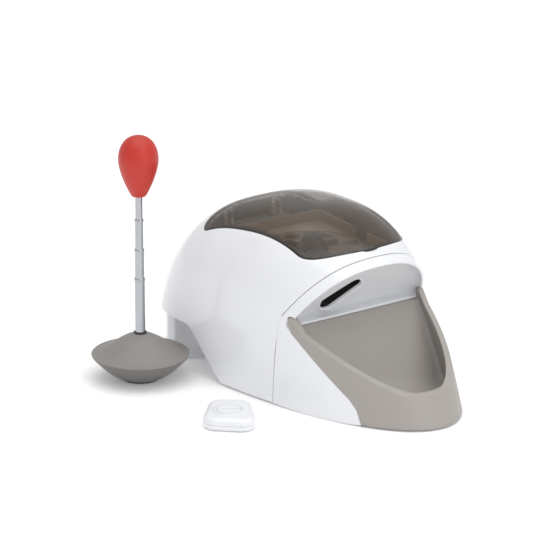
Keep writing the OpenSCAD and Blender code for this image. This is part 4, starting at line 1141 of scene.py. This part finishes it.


# The darker grey under the saucer's brim is painted shade, not a different plastic.
UPPER_GREY, SHADED_UNDER_GREY, SHADE_LINE_Z = (0.25, 0.232, 0.22), (0.155, 0.147, 0.14), 0.0257
saucer_grey = painted_shade_underside("saucer_grey_plastic", UPPER_GREY, SHADED_UNDER_GREY, SHADE_LINE_Z, 0.5, 0.00008)
place_piece(make_piece("saucer_foot", saucer()), saucer_grey, "wand", "grey_bowl", "wand_foot")
dress("wand_ballast", steel)
dress("wand_socket", dark_plastic)
wide_pad = small_pad | {"Pad Radius": 0.021, "Pad Height": 0.0017}
wide_pad |= {"Ring Step": 0.0062, "Nub Radius": 0.0014}
pad = grown("wand_foot_pad", pad_tree, [(*WAND_AT / 1000, 0.0005)], wide_pad)
place_piece(pad, rubber, "wand", "rubber", "wand_pad")

chrome = metal("chrome_plate", (0.47, 0.48, 0.505), 0.14, 2, 0.04, 0.000001)
TUBES = [("lower", "wand", 5.3, 3.5, 110.0), ("middle", "wand_middle", 4.8, 64.0, 142.0)]
TUBES.append(("upper", "wand_upper", 4.3, 96.0, 175.0))
RING = [(0, -3.4), (0.35, -3.1), (0.5, -2.4), (0.5, -0.7), (0.3, -0.2), (-0.05, 0), (-0.45, -0.2)]
for name, body, radius, low, high in TUBES:
    ring = [(radius + out, high + down) for out, down in RING]
    profile = [(radius, low), *ring, (radius - 0.45, low)]
    tube = make_piece(f"tube_{name}_skin", turned(profile, 64))
    place_piece(tube, chrome, body, "chrome_tube", f"tube_{name}")
dress("tip_rod", chrome)

red = moulded("red_satin_plastic", (0.52, 0.028, 0.014), 0.42, 0.00006, 0.05)
TIP_Z, TIP_H, TIP_R, FULLEST = 200.0, 65.5, 21.2, 0.6


def tip():
    """An egg on its point: fullest at six tenths of its height, drawn in to a blunt foot."""
    profile = [(0, TIP_Z), (6.6, TIP_Z), (7.3, TIP_Z + 0.2), (7.9, TIP_Z + 0.8)]
    for f in np.linspace(0.03, FULLEST, 40):
        profile.append((TIP_R - 13.6 * ((FULLEST - f) / FULLEST) ** 1.6, TIP_Z + TIP_H * f))
    for turn in np.linspace(0, pi / 2, 40)[1:-1]:
        rise = FULLEST + (1 - FULLEST) * sin(turn) ** 0.92
        profile.append((TIP_R * cos(turn) ** 0.9, TIP_Z + TIP_H * rise))
    return turned(profile + [(0, TIP_Z + TIP_H)])


place_piece(make_piece("egg_tip", tip()), red, "wand_tip", "red_tip", "target_tip")

# ---- Hand remote ----
# A palm-sized white handset: two gloss ABS halves held by one small screw, with a raised ring
# round two half-moon buttons and the bar between them.

REMOTE_AT, REMOTE_TURN = np.array([-162.0, -50.0]), radians(-38)
REMOTE_COUNT, RING_AT, RING_R, SPLIT = 240, -4.0, 16.0, 6.5
SHOULDER, BASE_SOFT, BAR_HALF = 7, 6, 1.6
# The handset's round corners, as X, Y and radius, and its ring's section, as a growth and a height.
HANDSET_CORNERS = (13, -19.5, 15), (-10.5, -15.5, 16), (8, 19, 14.5), (-8, 18.5, 15)
RING_PROFILE = [(0.2, 14.0), (0.0, 14.3), (-0.15, 14.7), (-0.6, 15.0)]
RING_PROFILE += [(-2.3, 15.0), (-2.6, 14.8), (-2.7, 14.5)]


def on_remote(plan, z):
    """A line in the handset's own plan, turned and moved to where the handset lies."""
    c, s = cos(REMOTE_TURN), sin(REMOTE_TURN)
    return at_height(plan @ np.array([[c, s], [-s, c]]) + REMOTE_AT, z + FLOOR_Z)


def handset(grow):
    """The remote's plan: a wide end and a narrow end, each with two round corners."""
    out = on_circle(full_turn(2400))
    best, support = out * 0.0, np.full(2400, -1e9)
    for x, y, r in HANDSET_CORNERS:
        point = out * (r + grow) + [x, y]
        far = (point * out).sum(axis=1)
        best = np.where((far > support)[:, None], point, best)
        support = np.maximum(far, support)
    line = np.concatenate([best, best[:1]])
    middle = np.array([0.0, RING_AT])
    bearing = np.unwrap(np.arctan2(*(line - middle).T[::-1]))
    at = bearing[0] + full_turn(REMOTE_COUNT)
    return np.column_stack([np.interp(at, bearing, line[:, k]) for k in (0, 1)])


def circle(radius):
    return radius * on_circle(full_turn(REMOTE_COUNT)) + [0, RING_AT]


def handset_top():
    rows = [on_remote(handset(grow), SPLIT) for grow in (-3, -0.2)]
    rows.append(on_remote(handset(0), SPLIT + 0.2))
    for a in np.linspace(0, 1, 12)[1:] * pi / 2:
        z = SPLIT + 1.6 + 5.4 * sin(a) ** 1.1
        rows.append(on_remote(handset(-SHOULDER * (1 - cos(a))), z))
    edge, ring = handset(-SHOULDER), circle(RING_R + 0.8)
    for s in np.linspace(0, 1, 8)[1:]:
        rows.append(on_remote(edge + (ring - edge) * s, 13.5 + 0.35 * s))
    rows += [on_remote(circle(RING_R + r), z) for r, z in RING_PROFILE]
    rows.append(on_remote(circle(RING_R - 2.7), SPLIT + 4))
    return capped(rows)


def handset_base():
    rows = [on_remote(handset(-BASE_SOFT), 0.0)]
    for a in np.linspace(0.1, 1, 8) * pi / 2:
        rows.append(on_remote(handset(-BASE_SOFT * (1 - sin(a))), 3.2 * (1 - cos(a))))
    rows += [on_remote(handset(0), SPLIT - 0.4), on_remote(handset(-0.2), SPLIT - 0.2)]
    return capped(rows)


def half_moon(inset, z, side):
    """Half of a disc on one side of the bar, its edge moved in."""
    radius = RING_R - 3 - inset
    start = asin((BAR_HALF + inset) / radius)
    arc = radius * on_circle(np.linspace(start, pi - start, 40))
    line = spaced(np.concatenate([arc, arc[:1]]), 97)[:-1]
    return on_remote(line * side + [0, RING_AT], z)


def button(side):
    profile = (0.3, 11.6), (0.3, 14.7), (0.4, 15.0), (0.8, 15.18), (2.4, 15.15), (5.0, 15.0)
    return capped([half_moon(inset, z, side) for inset, z in profile])


def bar():
    """The raised bar between the two buttons."""
    ring = np.array([[-13.2, -1.3], [13.2, -1.3], [13.2, 1.3], [-13.2, 1.3]])
    rows = [on_remote(ring + [0, RING_AT], z) for z in (11.0, 14.6)]
    return capped([*rows, on_remote(ring * [0.98, 0.7] + [0, RING_AT], 14.95)])


top = make_piece("handset_top", handset_top(), bar())
place_piece(top, white_plastic, "remote", "white_shell", "remote_top")
base = make_piece("handset_base", handset_base())
place_piece(base, white_plastic, "remote", "white_shell", "remote_bottom")
for body, side in (("treat_button", 1), ("hold_button", -1)):
    place_piece(make_piece(f"{body}_cap", button(side)), white_plastic, body, "white_shell", body)
dress("remote_cell", steel)
small_screw = cover_screw | {"Head Radius": 0.0024, "Head Height": 0.0007, "Shank Radius": 0.0012}
small_screw |= {"Length": 0.0046, "Recess Depth": 0.0004}
screw = grown("handset_screw", screw_tree, [(-0.17616, -0.06813, -0.0013)], small_screw)
place_piece(screw, steel, "remote", "steel", "remote_screw")

# ---- Floor, light and camera ----
# A pale sweep of studio paper that the set stands on, lit by two soft boxes and the air around,
# with a long lens at the set's three-quarter view.


def studio_floor(size=6.0):
    z = FLOOR_Z / 1000 - 0.0002
    corners = [(-size, -size, z), (size, -size, z), (size, size, z), (-size, size, z)]
    mesh = plain_mesh("studio_floor", corners, [(0, 1, 2, 3)])
    glow = {"Emission_Color": (1, 1, 1, 1), "Emission_Strength": 0.12}
    paper, place = new_material("studio_paper", Roughness=0.9, **glow)
    tint = blend_colour(noise(place, 40), (0.93, 0.93, 0.935), (0.96, 0.96, 0.965))
    mesh.materials.append(surface(paper, Base_Color=tint))
    floor = add_object("studio_floor", mesh)
    floor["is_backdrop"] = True


studio_floor()

AZIMUTH, ELEVATION = radians(36.63), radians(18.25)
FRAME_WIDTH, FRAME_U, FRAME_V = 0.5741, -0.17765, 0.16117
DISTANCE = 4.0
right = Vector((cos(AZIMUTH), -sin(AZIMUTH), 0))
level = Vector((sin(AZIMUTH), cos(AZIMUTH), 0))
ahead = level * cos(ELEVATION) - Vector((0, 0, sin(ELEVATION)))
up = right.cross(ahead)
aim = Vector((0, NOSE / 1000, 0)) + right * FRAME_U + up * FRAME_V + ahead * 0.16
camera = add_object("camera", bpy.data.cameras.new("camera"))
camera.data.sensor_width = 36.0
camera.data.lens = 36.0 * DISTANCE / FRAME_WIDTH
camera.data.clip_end = 50
camera.location = aim - ahead * DISTANCE
camera.rotation_euler = ahead.to_track_quat("-Z", "Y").to_euler()
bpy.context.scene.camera = camera


def soft_box(name, at, size, power, look=(0.0, 0.0, 0.08)):
    """A square area light at a place, turned to look at the set."""
    light = add_object(name, bpy.data.lights.new(name, "AREA"))
    light.data.shape, light.data.size, light.data.energy = "SQUARE", size, power
    light.location = at
    light.rotation_euler = (Vector(look) - Vector(at)).to_track_quat("-Z", "Y").to_euler()


soft_box("top_box", (0.2, -0.4, 4.0), 5.0, 100)
soft_box("front_box", (-0.2, -2.2, 1.2), 1.4, 9)
world = bpy.data.worlds.new("studio_air")
bpy.context.scene.world = world
world.use_nodes = True
world.node_tree.nodes["Background"].inputs["Color"].default_value = (1, 1, 1, 1)
world.node_tree.nodes["Background"].inputs["Strength"].default_value = 0.68
bpy.context.scene.view_settings.view_transform = "Standard"

low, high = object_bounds()
